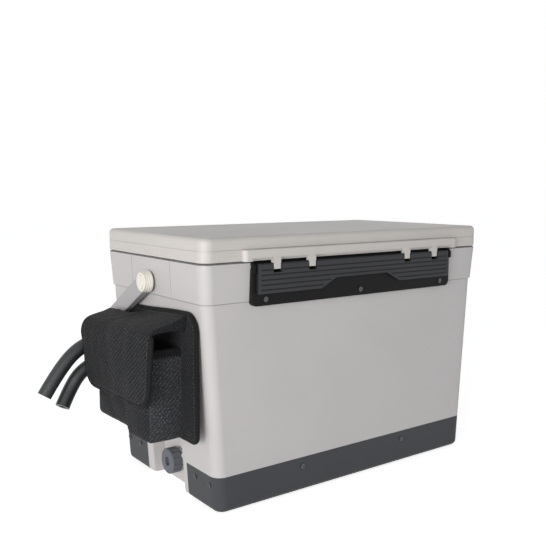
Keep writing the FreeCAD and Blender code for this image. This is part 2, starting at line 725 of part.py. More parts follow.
def rod_grooves():
    """Grooves in the rim's faces for the ends of the two rods."""
    half = PLATE_HALF - EAR_WIDTH / 4 + SEAT_GAP
    return [along_x(ROD_RADIUS + SEAT_GAP, -half, half, side * ROD_Y, ROD_Z) for side in (-1, 1)]


def latch_rod():
    return pivot_rod(-1)


def hinge_rod():
    return pivot_rod(1)


def plate_screw_places(side):
    z = BODY_HEIGHT - PLATE_HEIGHT + PLATE_SCREW_RISE
    xs = sorted({sign * x for x in PLATE_SCREW_X for sign in (-1, 1)})
    return [Vector(x, side * (HALF_DEPTH + PLATE_PROUD), z) for x in xs]


def plate_screw_depth(share):
    """From the plate's face to its seat on the rim, and on through a share of the shell's wall."""
    z = BODY_HEIGHT - PLATE_HEIGHT + PLATE_SCREW_RISE
    return HALF_DEPTH + PLATE_PROUD - side_half(z) + SHELL_WALL * share


def plate_screw_holes():
    """Screw holes of both plates in the shell's wall."""
    radius = SCREW_RADIUS + SCREW_GAP
    depth = plate_screw_depth(2 / 3)
    return [rod(radius, place - Vector(0, side * depth, 0), place)
            for side in (-1, 1) for place in plate_screw_places(side)]


def plate_screws(side):
    out = Vector(0, side, 0)
    depth = plate_screw_depth(1 / 2)
    return Part.makeCompound([pan_screw(place, out, depth) for place in plate_screw_places(side)])


def latch_screws():
    return plate_screws(-1)


def hinge_screws():
    return plate_screws(1)


def latch_lever():
    """Ribbed lever that turns on the latch rod, with notches for the lid's hooks and a grip cut-out."""
    front = -(HALF_DEPTH + LEVER_PROUD)
    back = front + LEVER_THICKNESS
    bottom = ROD_Z - LEVER_DROP
    barrel = along_x(BARREL_RADIUS, -LEVER_HALF, LEVER_HALF, -ROD_Y, ROD_Z)
    lever = barrel.fuse(block(-LEVER_HALF, LEVER_HALF, front, back, bottom, ROD_Z)).removeSplitter()
    lower = [edge for edge in lever.Edges if is_lower_corner(edge, bottom)]
    lever = lever.makeFillet(LEVER_THICKNESS * 0.47, lower)
    low = bottom - 1
    cut = [Vector(-GRIP_CUT_BOTTOM, front - 1, low), Vector(GRIP_CUT_BOTTOM, front - 1, low),
           Vector(GRIP_CUT_TOP, front - 1, bottom + GRIP_CUT_HEIGHT),
           Vector(-GRIP_CUT_TOP, front - 1, bottom + GRIP_CUT_HEIGHT)]
    radii = (0, 0, GRIP_CUT_ROUND, GRIP_CUT_ROUND)
    lever = lever.cut(outline_prism(cut, radii, Vector(0, LEVER_THICKNESS + 2, 0)))
    for x in hook_places():
        half = HOOK_WIDTH / 2 + NOTCH_GAP
        lever = lever.cut(block(x - half, x + half, front - 1, -HALF_DEPTH + TROUGH_RADIUS,
                                ROD_Z - NOTCH_DEPTH, BODY_HEIGHT))
    lever = lever.cut(along_x(ROD_RADIUS + RUNNING_FIT, -BODY_LENGTH, BODY_LENGTH, -ROD_Y, ROD_Z))
    lever = lever.cut(block(-BODY_LENGTH, BODY_LENGTH, front - 1, -HALF_DEPTH + TROUGH_RADIUS,
                            BODY_HEIGHT - LEVER_TOP_DROP, BODY_HEIGHT + 1))
    for index in range(RIB_COUNT):
        above = RIB_FOOT + index * RIB_PITCH
        z0, z1 = bottom + above - RIB_GROOVE / 2, bottom + above + RIB_GROOVE / 2
        for x0, x1 in rib_spans(above):
            lever = lever.cut(block(x0, x1, front - 1, front + RIB_DEPTH, z0, z1))
    return lever


def rib_spans(above):
    """Where a groove at a height above the lever's lower edge runs, clear of the grip cut-out."""
    end = LEVER_HALF - RIB_END
    if above - RIB_GROOVE / 2 > GRIP_CUT_HEIGHT + RIB_OVER:
        return [(-end, end)]
    share = min(1.0, above / GRIP_CUT_HEIGHT)
    inner = GRIP_CUT_BOTTOM + (GRIP_CUT_TOP - GRIP_CUT_BOTTOM) * share + RIB_START
    return [(-end, -inner), (inner, end)]


def is_lower_corner(edge, bottom):
    box = edge.BoundBox
    return abs(box.ZMin - bottom) < 1e-4 and abs(box.ZMax - bottom) < 1e-4 and box.XLength > LEVER_HALF


# ---------------------------------------------------------------- lid
def hook_places():
    return sorted(sign * x for x in HOOK_X for sign in (-1, 1))


def lid_form():
    """The lid's outer form, with rounded top and lower edges."""
    form = tapered((HALF_LENGTH, HALF_DEPTH, LID_BOTTOM), (HALF_LENGTH, HALF_DEPTH, LID_TOP), CORNER_RADIUS)
    form = form.makeFillet(LID_ROUND, level_edges(form, LID_TOP))
    return form.makeFillet(LID_EDGE, level_edges(form, LID_BOTTOM))


def lid_groove():
    z = LID_BOTTOM + LID_GROOVE_HEIGHT
    low = z - LID_GROOVE / 2
    high = z + LID_GROOVE / 2
    half_x = HALF_LENGTH - LID_GROOVE
    half_y = HALF_DEPTH - LID_GROOVE
    wide_x = HALF_LENGTH + 1
    wide_y = HALF_DEPTH + 1
    outer = tapered((wide_x, wide_y, low), (wide_x, wide_y, high), CORNER_RADIUS)
    return outer.cut(tapered((half_x, half_y, low - 1), (half_x, half_y, high + 1), CORNER_RADIUS))


def lip(side):
    """Raised lip over a rod, with hooks that reach down in front of the rod."""
    top = LID_BOTTOM + LID_GROOVE_HEIGHT
    inner = side * (HALF_DEPTH - LID_WALL)
    outer = side * (HALF_DEPTH + LIP_PROUD)
    along = Vector(0, 0, top - LID_BOTTOM)
    points = [Vector(-LIP_HALF, inner, LID_BOTTOM), Vector(LIP_HALF, inner, LID_BOTTOM),
              Vector(LIP_HALF, outer, LID_BOTTOM), Vector(-LIP_HALF, outer, LID_BOTTOM)]
    rail = outline_prism(points, (0, 0, LIP_PROUD - 1, LIP_PROUD - 1), along)
    long_edges = [edge for edge in level_edges(rail, top) if is_long_front(edge, outer)]
    rail = rail.makeFillet(LIP_ROUND, long_edges)
    y0, y1 = sorted((side * HALF_DEPTH, side * (HALF_DEPTH + LIP_PROUD + 1)))
    rail = rail.cut(block(-PLATE_HALF - 1, PLATE_HALF + 1, y0, y1, LID_BOTTOM - 1, LID_BOTTOM + LIP_LIFT))
    hooks = []
    for x in hook_places():
        face = HALF_DEPTH + LIP_PROUD
        y0, y1 = sorted((side * (face - HOOK_THICKNESS), side * face))
        hook = block(x - HOOK_WIDTH / 2, x + HOOK_WIDTH / 2, y0, y1, LID_BOTTOM - HOOK_DROP,
                     LID_BOTTOM + LIP_LIFT + 1)
        outer_edges = [edge for edge in hook.Edges if is_hook_edge(edge, outer)]
        hooks.append(hook.makeFillet(HOOK_ROUND, outer_edges))
        y0, y1 = sorted((side * HALF_DEPTH, side * face))
        hooks.append(block(x - HOOK_WIDTH / 2, x + HOOK_WIDTH / 2, y0, y1, ROD_Z + ROD_RADIUS + 1,
                           LID_BOTTOM + LIP_LIFT + 1))
    return fuse_all([rail] + hooks)


def is_long_front(edge, y):
    box = edge.BoundBox
    return abs(box.YMin - y) < 1e-4 and abs(box.YMax - y) < 1e-4 and box.XLength > LIP_HALF


def is_hook_edge(edge, y):
    """True for a hook's two upright edges and its lower edge, on its outer face."""
    box = edge.BoundBox
    return abs(box.YMin - y) < 1e-4 and abs(box.YMax - y) < 1e-4 and box.ZMin < LID_BOTTOM


def lid_shell():
    shell = lid_form().cut(lid_groove())
    return fuse_all([shell.cut(lid_space(LID_BOTTOM - 1)), lip(-1), lip(1)])


def lid_space(low):
    """The space inside the lid's shell, from a level up."""
    half_x = HALF_LENGTH - LID_WALL
    half_y = HALF_DEPTH - LID_WALL
    top = LID_TOP - LID_WALL
    space = tapered((half_x, half_y, low), (half_x, half_y, top), CORNER_RADIUS - LID_WALL)
    return space.makeFillet(LID_ROUND, level_edges(space, top))


def lid_panel_block(grow, low, high):
    half_x = cavity_end(BODY_HEIGHT) - LID_PLUG_GAP - grow
    half_y = cavity_side(BODY_HEIGHT) - LID_PLUG_GAP - grow
    return tapered((half_x, half_y, low), (half_x, half_y, high), CAVITY_RADIUS - LID_PLUG_GAP - grow)


def lid_slab():
    half_x = HALF_LENGTH - LID_WALL
    half_y = HALF_DEPTH - LID_WALL
    radius = CORNER_RADIUS - LID_WALL
    return tapered((half_x, half_y, LID_BOTTOM), (half_x, half_y, LID_BOTTOM + LID_WALL), radius)


def lid_inner_panel():
    bottom = LID_BOTTOM - LID_PLUG_DEPTH
    panel = lid_slab().fuse(lid_panel_block(0, bottom, LID_BOTTOM + LID_WALL))
    panel = panel.cut(lid_panel_block(LID_WALL, bottom + LID_WALL, LID_BOTTOM + LID_WALL + 1))
    return panel.cut(gasket_ring(LID_BOTTOM - 1, LID_BOTTOM + LID_WALL / 2)).removeSplitter()


def lid_foam():
    low = LID_BOTTOM + LID_WALL
    core = lid_panel_block(LID_WALL, LID_BOTTOM - LID_PLUG_DEPTH + LID_WALL, low)
    return lid_space(low).fuse(core).removeSplitter()


def gasket_ring(low, high):
    half_x = cavity_end(BODY_HEIGHT) + GASKET_OFFSET
    half_y = cavity_side(BODY_HEIGHT) + GASKET_OFFSET
    radius = CAVITY_RADIUS + GASKET_OFFSET
    wide_x = half_x + GASKET_WIDTH
    wide_y = half_y + GASKET_WIDTH
    outer = tapered((wide_x, wide_y, low), (wide_x, wide_y, high), radius + GASKET_WIDTH)
    return outer.cut(tapered((half_x, half_y, low - 1), (half_x, half_y, high + 1), radius))


def lid_gasket():
    return gasket_ring(LID_BOTTOM - GASKET_PROUD, LID_BOTTOM + LID_WALL / 2)


# ---------------------------------------------------------------- carrying bail
def pivot_holes():
    inner = HALF_LENGTH - BODY_INSET - PIVOT_SEAT
    outer = HALF_LENGTH + 1
    spans = ((-outer, -inner), (inner, outer))
    return [along_x(PIVOT_RADIUS, x0, x1, 0, PIVOT_Z) for x0, x1 in spans]


def bail_pivots():
    """Stub axles let into the rim, one at each end."""
    inner = HALF_LENGTH - BODY_INSET - PIVOT_SEAT
    outer = ARM_INNER + ARM_THICKNESS + SEAT_GAP
    return Part.makeCompound([along_x(PIVOT_RADIUS, -outer, -inner, 0, PIVOT_Z),
                              along_x(PIVOT_RADIUS, inner, outer, 0, PIVOT_Z)])


def pivot_caps():
    """Stepped retaining caps on the axles' ends."""
    start = ARM_INNER + ARM_THICKNESS + SEAT_GAP
    caps = []
    for side in (-1, 1):
        steps = []
        for radius, reach in ((CAP_RADIUS, CAP_THICKNESS * 0.55), (CAP_RADIUS - CAP_STEP, CAP_THICKNESS)):
            outer = side * (start + reach)
            x0, x1 = sorted((side * start, outer))
            step = along_x(radius, x0, x1, 0, PIVOT_Z)
            steps.append(step.makeFillet(CAP_ROUND, end_edges(step, outer)))
        caps.append(fuse_all(steps))
    return Part.makeCompound(caps)


def bar_place():
    """Bar axis at rest, where the grip lies against the back wall."""
    y = side_half(RIM_BOTTOM - 1) + GRIP_RADIUS + BAIL_REST_GAP
    return Vector(0, y, PIVOT_Z - y * math.tan(math.radians(BAIL_REST)))


def handle_bail():
    bar = bar_place()
    lean = math.radians(BAIL_REST)
    across = Vector(0, math.sin(lean), math.cos(lean)) * (ARM_WIDTH / 2)
    half = ARM_INNER + ARM_THICKNESS / 2
    solids = [along_x(BAR_RADIUS, -half, half, bar.y, bar.z)]
    for side in (-1, 1):
        x = side * ARM_INNER
        along = Vector(side * ARM_THICKNESS, 0, 0)
        eye = Vector(x, 0, PIVOT_Z)
        end = Vector(x, bar.y, bar.z)
        corners = [eye + across, end + across, end - across, eye - across]
        web = Part.Face(Part.makePolygon(corners + corners[:1])).extrude(along)
        arm = fuse_all([web, rod(EYE_RADIUS, eye, eye + along), rod(ARM_WIDTH / 2, end, end + along)])
        solids.append(arm.makeFillet(ARM_ROUND, end_edges(arm, x + side * ARM_THICKNESS)))
    bail = fuse_all(solids)
    return bail.cut(along_x(PIVOT_RADIUS + RUNNING_FIT, -BODY_LENGTH, BODY_LENGTH, 0, PIVOT_Z))


def handle_grip():
    bar = bar_place()
    return ring_x(GRIP_RADIUS, BAR_RADIUS, -GRIP_LENGTH / 2, GRIP_LENGTH / 2, bar.y, bar.z)


# ---------------------------------------------------------------- drain
def recess_x():
    return -end_half(DRAIN_HEIGHT) + RECESS_DEPTH


def drain_gasket():
    x = recess_x()
    return ring_x(DRAIN_NUT_RADIUS, DRAIN_NECK + SEAT_GAP, x - DRAIN_GASKET, x, 0, DRAIN_HEIGHT)


def drain_fitting():
    """Drain tube through the wall, with its fixed collar in the recess and a threaded neck outside."""
    seat = recess_x() - DRAIN_GASKET
    tube = along_x(DRAIN_NECK, recess_x() - DRAIN_NECK_LENGTH, -cavity_end(DRAIN_HEIGHT), 0, DRAIN_HEIGHT)
    collar = along_x(DRAIN_NUT_RADIUS, seat - DRAIN_NUT_THICKNESS, seat, 0, DRAIN_HEIGHT)
    bore = along_x(DRAIN_BORE, -HALF_LENGTH, 0, 0, DRAIN_HEIGHT)
    return tube.fuse(collar).cut(bore)


def drain_seal():
    """Sealing disc between the neck's end and the plug."""
    x = recess_x() - DRAIN_NECK_LENGTH
    return ring_x(DRAIN_NECK, DRAIN_BORE - SEAL_LIP, x - PLUG_SEAL, x - SEAL_GAP, 0, DRAIN_HEIGHT)


def drain_plug():
    """Fluted screw cap over the neck, with a blind socket in its end."""
    inner_end = recess_x() - DRAIN_NECK_LENGTH - PLUG_SEAL - SEAL_GAP
    skirt = recess_x() - DRAIN_GASKET - DRAIN_NUT_THICKNESS - TETHER_THICKNESS - SEAT_GAP
    outer_end = skirt - PLUG_LENGTH
    cap = along_x(PLUG_RADIUS, outer_end, skirt, 0, DRAIN_HEIGHT)
    cap = cap.makeFillet(PLUG_ROUND, end_edges(cap, outer_end))
    cap = cap.cut(along_x(DRAIN_NECK + RUNNING_FIT, inner_end, skirt + 1, 0, DRAIN_HEIGHT))
    socket_floor = outer_end + PLUG_SOCKET_DEPTH
    cap = cap.cut(along_x(PLUG_SOCKET_RADIUS, outer_end - 1, socket_floor, 0, DRAIN_HEIGHT))
    for index in range(PLUG_FLUTES):
        angle = 2 * math.pi * index / PLUG_FLUTES
        y = (PLUG_RADIUS + PLUG_FLUTE_SHIFT) * math.cos(angle)
        z = DRAIN_HEIGHT + (PLUG_RADIUS + PLUG_FLUTE_SHIFT) * math.sin(angle)
        cap = cap.cut(along_x(PLUG_FLUTE_RADIUS, outer_end + PLUG_FLUTE_START, skirt + 1, y, z))
    return cap


def drain_tether():
    """Retaining ring on the neck behind the plug, with its strap to a stud on the recess wall."""
    x = recess_x() - DRAIN_GASKET - DRAIN_NUT_THICKNESS
    ring = along_x(DRAIN_NECK + TETHER_RING, x - TETHER_THICKNESS, x, 0, DRAIN_HEIGHT)
    stud_y = TETHER_INSET - RECESS_HALF
    stud_z = DRAIN_HEIGHT + DRAIN_NUT_RADIUS + TETHER_RISE
    length = math.hypot(stud_y, stud_z - DRAIN_HEIGHT)
    strap = block(x - TETHER_THICKNESS, x, -TETHER_WIDTH / 2, TETHER_WIDTH / 2,
                  DRAIN_HEIGHT, DRAIN_HEIGHT + length)
    lean = math.degrees(math.atan2(-stud_y, stud_z - DRAIN_HEIGHT))
    strap.rotate(Vector(x, 0, DRAIN_HEIGHT), Vector(1, 0, 0), lean)
    pad = along_x(TETHER_PAD, x - TETHER_THICKNESS, x, stud_y, stud_z)
    stud = along_x(TETHER_STUD, x, recess_x(), stud_y, stud_z)
    ring = fuse_all([ring, strap, pad, stud])
    return ring.cut(along_x(DRAIN_NECK + SEAT_GAP, x - 5, x + 5, 0, DRAIN_HEIGHT))


# ---------------------------------------------------------------- hose ports and hoses
def hose_port(y, z):
    """Bulkhead port: flange and hose stub outside, tube through the wall, threaded end in the cavity."""
    inside, outside = port_ends(y, z)
    out = port_direction()
    face = outside + out * PORT_FLANGE_THICKNESS
    tip = face + out * PORT_STUB
    tube = rod(PORT_RADIUS, inside - out * PORT_REACH, outside)
    flange = rod(PORT_FLANGE, outside, face)
    port = fuse_all([tube, flange, rod(HOSE_BORE - STUB_GAP, face, tip)])
    return port.cut(rod(PORT_BORE, inside - out * (PORT_REACH + 1), tip + out))


def supply_port():
    return hose_port(PORT_Y, SUPPLY_PORT_Z)


def return_port():
    return hose_port(PORT_Y, RETURN_PORT_Z)


def port_nuts():
    nuts = []
    for y, z in ((PORT_Y, SUPPLY_PORT_Z), (PORT_Y, RETURN_PORT_Z)):
        inside = port_ends(y, z)[0]
        out = port_direction()
        near = inside - out * NUT_GAP
        nut = rod(NUT_RADIUS, near - out * NUT_THICKNESS, near)
        nuts.append(nut.cut(rod(PORT_RADIUS, inside - out * PORT_REACH, inside + out)))
    return Part.makeCompound(nuts)


def hose_route(z, bends):
    """A hose's route: its port's face, a short straight run, then its bends."""
    out = port_direction()
    start = port_ends(PORT_Y, z)[1] + out * PORT_FLANGE_THICKNESS
    return [start, start + out * HOSE_FIRST_RUN] + [start + Vector(*bend) for bend in bends]


def supply_hose_foam():
    route = hose_route(SUPPLY_PORT_Z, SUPPLY_BENDS)
    return swept_tube(route, HOSE_RADIUS, HOSE_TUBE_RADIUS, "supply hose foam")


def supply_hose_tube():
    route = hose_route(SUPPLY_PORT_Z, SUPPLY_BENDS)
    return swept_tube(route, HOSE_TUBE_RADIUS, HOSE_BORE, "supply hose tube")


def return_hose_foam():
    route = hose_route(RETURN_PORT_Z, RETURN_BENDS)
    return swept_tube(route, HOSE_RADIUS, HOSE_TUBE_RADIUS, "return hose foam")


def return_hose_tube():
    route = hose_route(RETURN_PORT_Z, RETURN_BENDS)
    return swept_tube(route, HOSE_TUBE_RADIUS, HOSE_BORE, "return hose tube")


# ---------------------------------------------------------------- pouch
def panel_face():
    """X of the back panel's outer face; the panel hangs from its top, just clear of the wall."""
    return -(end_half(POUCH_TOP) + PANEL_GAP + PANEL_THICKNESS)


def pouch_back_panel():
    x = panel_face()
    points = [Vector(x, POUCH_FRONT, POUCH_BOTTOM), Vector(x, POUCH_REAR, POUCH_BOTTOM),
              Vector(x, POUCH_REAR, POUCH_TOP), Vector(x, POUCH_FRONT, POUCH_TOP)]
    radii = (PANEL_CORNER / 2, PANEL_CORNER / 2, PANEL_CORNER, PANEL_CORNER)
    panel = outline_prism(points, radii, Vector(PANEL_THICKNESS, 0, 0))
    for hole in rivet_holes():
        panel = panel.cut(hole)
    cable_y, cable_z = gland_place()
    return panel.cut(along_x(GLAND_RADIUS / 2 + 1, x - 1, -HALF_LENGTH / 2, cable_y, cable_z))


def rivet_places():
    """Rivet centres, under the flap near the panel's top edge."""
    z = POUCH_TOP - RIVET_DROP
    return [Vector(panel_face(), y, z) for y in RIVET_Y]


def rivet_holes():
    depth = PANEL_THICKNESS + PANEL_GAP + SHELL_WALL + 1
    outward = Vector(-1, 0, 0)
    return [rod(RIVET_RADIUS, place + outward, place - outward * depth) for place in rivet_places()]


def pouch_rivets():
    """Rivets through the panel into the shell, each with a domed head outside."""
    depth = PANEL_THICKNESS + PANEL_GAP + SHELL_WALL
    rivets = []
    for place in rivet_places():
        head = rod(RIVET_HEAD_RADIUS, place - Vector(RIVET_HEAD, 0, 0), place)
        head = head.makeFillet(RIVET_HEAD * 0.7, [edge for edge in head.Edges
                                                  if abs(edge.BoundBox.XMax - place.x + RIVET_HEAD) < 1e-4])
        rivets.append(head.fuse(rod(RIVET_RADIUS, place, place + Vector(depth, 0, 0))))
    return Part.makeCompound(rivets)


def pocket_form(inset, low, high):
    """Upright pocket form against the back panel; its outer side leans out towards the rear."""
    x = panel_face()
    front = POCKET_FRONT + inset
    rear = POCKET_REAR - inset
    points = [Vector(x, front, low), Vector(x - POCKET_DEPTH + inset, front, low),
              Vector(x - POCKET_DEPTH - POCKET_LEAN + inset, rear, low), Vector(x, rear, low)]
    corner = POCKET_CORNER - inset
    return outline_prism(points, (0, corner, corner, 0), Vector(0, 0, high - low))


def pouch_pocket():
    pocket = pocket_form(0, POUCH_BOTTOM, POCKET_TOP)
    return pocket.cut(pocket_form(POCKET_WALL, POUCH_BOTTOM + POCKET_WALL, POCKET_TOP + 1))


def pouch_binding():
    """Folded tape over the pocket's top edge."""
    outer = pocket_form(-BINDING_THICKNESS, POCKET_TOP - BINDING_HEIGHT, POCKET_TOP + BINDING_THICKNESS)
    inner = pocket_form(POCKET_WALL + BINDING_THICKNESS, POCKET_TOP - BINDING_HEIGHT - 1, POCKET_TOP + 5)
    return outer.cut(inner).cut(pouch_pocket())


def rounded_corner(before, corner, after, radius):
    """Start, middle and end of the arc that rounds a corner between two runs."""
    back = (before - corner).normalize()
    ahead = (after - corner).normalize()
    half = back.getAngle(ahead) / 2
    inward = (back + ahead).normalize()
    trim = radius / math.tan(half)
    middle = corner + inward * (radius / math.sin(half) - radius)
    return corner + back * trim, middle, corner + ahead * trim


def flap_profile(y, end, inset):
    """Upright section of the flap's outer form at its front end (0) or rear end (1)."""
    hinge = panel_face() - SEAT_GAP
    start = Vector(hinge, y, FLAP_BOTTOM)
    top = Vector(hinge, y, FLAP_TOP - inset)
    shoulder = Vector(hinge - FLAP_DEPTHS[end] + inset, y, FLAP_TOP - FLAP_FALLS[end] - inset)
    hem = Vector(shoulder.x - FLAP_FLARES[end], y, FLAP_BOTTOM)
    near, middle, far = rounded_corner(top, shoulder, hem, FLAP_BEND - inset)
    edges = [Part.LineSegment(start, top).toShape(), Part.LineSegment(top, near).toShape(),
             Part.Arc(near, middle, far).toShape(), Part.LineSegment(far, hem).toShape(),
             Part.LineSegment(hem, start).toShape()]
    return Part.Wire(edges)


def flap_form(inset):
    """Solid under the flap, from its front edge to its rear edge."""
    sections = [flap_profile(FLAP_FRONT, 0, inset), flap_profile(FLAP_REAR, 1, inset)]
    return Part.makeLoft(sections, True, True)


def flap_outline():
    """Everything within the flap's outline, seen from its outer side."""
    x = panel_face() - SEAT_GAP
    points = [Vector(x, FLAP_FRONT, FLAP_BOTTOM), Vector(x, FLAP_REAR, FLAP_BOTTOM),
              Vector(x, FLAP_REAR, FLAP_TOP + 1), Vector(x, FLAP_FRONT, FLAP_TOP + 1)]
    return outline_prism(points, (FLAP_CORNER, FLAP_CORNER, 0, 0), Vector(-2 * max(FLAP_DEPTHS), 0, 0))


def arm_relief():
    """Space behind the flap's sewn edge that the bail's arm passes through."""
    hinge = panel_face()
    near = hinge - ARM_RELIEF
    return block(near, hinge + 1, FLAP_HINGE_END, FLAP_REAR + 1, FLAP_BOTTOM - 1, FLAP_TOP + 1)


def pouch_flap():
    """Flap sewn to the back panel along its top edge, with its front side folded down."""
    sheet = flap_form(0).cut(flap_form(FLAP_THICKNESS)).common(flap_outline()).cut(arm_relief())
    side = block(panel_face() - 2 * max(FLAP_DEPTHS), panel_face(), FLAP_FRONT, FLAP_FRONT + FLAP_THICKNESS,
                 FLAP_TOP - FLAP_EAR, FLAP_TOP)
    return sheet.fuse(side.common(flap_form(0))).removeSplitter()


def patch_span(low):
    middle = (POCKET_FRONT + POCKET_REAR) / 2
    x = panel_face()
    half = PATCH_LENGTH / 2
    high = low + PATCH_HEIGHT
    return block(x - 2 * max(FLAP_DEPTHS), x - POCKET_DEPTH / 2, middle - half, middle + half, low, high)


def hook_patch():
    """Hook tape sewn inside the flap's lower part."""
    layer = flap_form(FLAP_THICKNESS).cut(flap_form(FLAP_THICKNESS + PATCH_THICKNESS))
    return layer.common(patch_span(FLAP_BOTTOM + PATCH_RISE))


def loop_patch():
    """Loop tape sewn to the pocket's outer side, facing the hook tape."""
    layer = pocket_form(-PATCH_THICKNESS, POUCH_BOTTOM, POCKET_TOP)
    layer = layer.cut(pocket_form(0, POUCH_BOTTOM, POCKET_TOP))
    return layer.common(patch_span(FLAP_BOTTOM + PATCH_RISE))


# ---------------------------------------------------------------- controller in the pouch
def case_box():
    """Corners of the controller's case: low x, high x, low y, high y, low z, high z."""
    x = panel_face() - CASE_CLEARANCE
    y = (POCKET_FRONT + POCKET_REAR) / 2
    z = POUCH_BOTTOM + POCKET_WALL + SEAT_GAP
    return x - CASE_DEPTH, x, y - CASE_LENGTH / 2, y + CASE_LENGTH / 2, z, z + CASE_HEIGHT


def case_boss_places():
    x0, x1, y0, y1, z0, z1 = case_box()
    inset = CASE_WALL + CASE_BOSS - CASE_BOSS_SINK
    return [(y, z) for y in (y0 + inset, y1 - inset) for z in (z0 + inset, z1 - inset)]


def button_place():
    x0, x1, y0, y1, z0, z1 = case_box()
    return (x0 + x1) / 2, (y0 + y1) / 2, z1


def controller_case():
    """Moulded case, open on its outer side, with four screw bosses and two rails for the board."""
    x0, x1, y0, y1, z0, z1 = case_box()
    front = x0 + COVER_THICKNESS
    case = block(front, x1, y0, y1, z0, z1)
    along = [edge for edge in case.Edges if edge.BoundBox.XLength > CASE_DEPTH / 2]
    case = case.makeFillet(CASE_ROUND, along)
    case = case.cut(block(front - 1, x1 - CASE_WALL, y0 + CASE_WALL, y1 - CASE_WALL,
                          z0 + CASE_WALL, z1 - CASE_WALL))
    bosses = [along_x(CASE_BOSS, front, x1 - CASE_WALL, y, z) for y, z in case_boss_places()]
    board_z = z1 - BOARD_DROP
    rail_top = board_z - BOARD_THICKNESS
    reach = CASE_WALL + CASE_RAIL
    spans = ((y0 + CASE_WALL / 2, y0 + reach), (y1 - reach, y1 - CASE_WALL / 2))
    rails = [block(front, x1 - CASE_WALL, near, far, rail_top - CASE_WALL, rail_top) for near, far in spans]
    case = fuse_all([case] + bosses + rails)
    for y, z in case_boss_places():
        case = case.cut(along_x(CASE_SCREW, front - 1, x1 - CASE_WALL - 2, y, z))
    x, y, z = button_place()
    for radius, shift in ((BUTTON_RADIUS + SEAT_GAP, 0), (LENS_RADIUS, LENS_OFFSET),
                          (DC_RADIUS, -DC_OFFSET)):
        low = Vector(x, y + shift, z - CASE_WALL - 1)
        case = case.cut(rod(radius, low, Vector(x, y + shift, z + 1)))
    cable_y, cable_z = gland_place()
    return case.cut(along_x(GLAND_RADIUS / 2, x1 - CASE_WALL - 1, x1 + 1, cable_y, cable_z))


def controller_cover():
    x0, x1, y0, y1, z0, z1 = case_box()
    cover = block(x0, x0 + COVER_THICKNESS, y0, y1, z0, z1)
    cover = cover.makeFillet(CASE_ROUND, [edge for edge in cover.Edges
                                          if abs(edge.BoundBox.XLength - COVER_THICKNESS) < 1e-4])
    cover = cover.makeFillet(COVER_ROUND, [edge for edge in cover.Edges
                                           if abs(edge.BoundBox.XMax - x0) < 1e-4])
    for y, z in case_boss_places():
        cover = cover.cut(along_x(CASE_SCREW + SCREW_GAP, x0 - 1, x0 + COVER_THICKNESS + 1, y, z))
        cover = cover.cut(along_x(CASE_SCREW_HEAD + SCREW_GAP, x0 - 1, x0 + CASE_SCREW_SINK, y, z))
    return cover


def cover_screws():
    x0 = case_box()[0]
    screws = []
    for y, z in case_boss_places():
        head = along_x(CASE_SCREW_HEAD, x0 + SEAT_GAP, x0 + CASE_SCREW_SINK, y, z)
        tip = x0 + COVER_THICKNESS + CASE_SCREW_REACH
        screw = head.fuse(along_x(CASE_SCREW, x0 + CASE_SCREW_SINK, tip, y, z))
        screws.append(screw.cut(along_x(CASE_SCREW_SOCKET, x0 - 1, x0 + CASE_SCREW_SINK / 2, y, z)))
    return Part.makeCompound(screws)


def circuit_board():
    x0, x1, y0, y1, z0, z1 = case_box()
    top = z1 - BOARD_DROP
    board = block(x0 + COVER_THICKNESS + 1, x1 - CASE_WALL - 1, y0 + CASE_WALL + SEAT_GAP,
                  y1 - CASE_WALL - SEAT_GAP, top - BOARD_THICKNESS, top)
    for y, z in case_boss_places():
        board = board.cut(along_x(CASE_BOSS + SEAT_GAP, x0, x1, y, z))
    return board


def button_switch():
    """Tact switch on the board under the power button."""
    x, y, z = button_place()
    base = z - BOARD_DROP
    top = base + SWITCH_BODY
    body = block(x - SWITCH_HALF, x + SWITCH_HALF, y - SWITCH_HALF, y + SWITCH_HALF, base, top)
    return body.fuse(rod(SWITCH_PLUNGER, Vector(x, y, top), Vector(x, y, base + SWITCH_HEIGHT)))


def power_button():
    """Button with a flange under the case's top wall and a stem above the switch."""
    x, y, z = button_place()
    under = z - CASE_WALL - SEAT_GAP
    low = under - BUTTON_FLANGE_THICKNESS
    cap = rod(BUTTON_RADIUS, Vector(x, y, low), Vector(x, y, z + BUTTON_PROUD))
    cap = cap.makeFillet(BUTTON_ROUND, level_edges(cap, z + BUTTON_PROUD))
    flange = rod(BUTTON_RADIUS + BUTTON_FLANGE, Vector(x, y, low), Vector(x, y, under))
    stem_end = z - BOARD_DROP + SWITCH_HEIGHT + BUTTON_TRAVEL + SEAT_GAP
    stem = rod(BUTTON_STEM, Vector(x, y, stem_end), Vector(x, y, under))
    return fuse_all([cap, flange, stem])


def status_lens():
    x, y, z = button_place()
    y += LENS_OFFSET
    lens = rod(LENS_RADIUS, Vector(x, y, z - CASE_WALL), Vector(x, y, z + LENS_PROUD))
    return lens.makeFillet(LENS_ROUND, level_edges(lens, z + LENS_PROUD))


def dc_socket():
    x, y, z = button_place()
    y -= DC_OFFSET
    mouth = z + DC_RIM_THICKNESS
    end = z - DC_DEPTH - DC_FLOOR
    body = rod(DC_RADIUS, Vector(x, y, end), Vector(x, y, z))
    body = body.fuse(rod(DC_RADIUS + DC_RIM, Vector(x, y, z), Vector(x, y, mouth)))
    body = body.cut(rod(DC_BORE, Vector(x, y, mouth - DC_DEPTH), Vector(x, y, mouth + 1)))
    return body.cut(rod(DC_PIN, Vector(x, y, end - 1), Vector(x, y, z)))


def dc_pin():
    x, y, z = button_place()
    y -= DC_OFFSET
    return rod(DC_PIN, Vector(x, y, z - DC_DEPTH - DC_FLOOR), Vector(x, y, z))


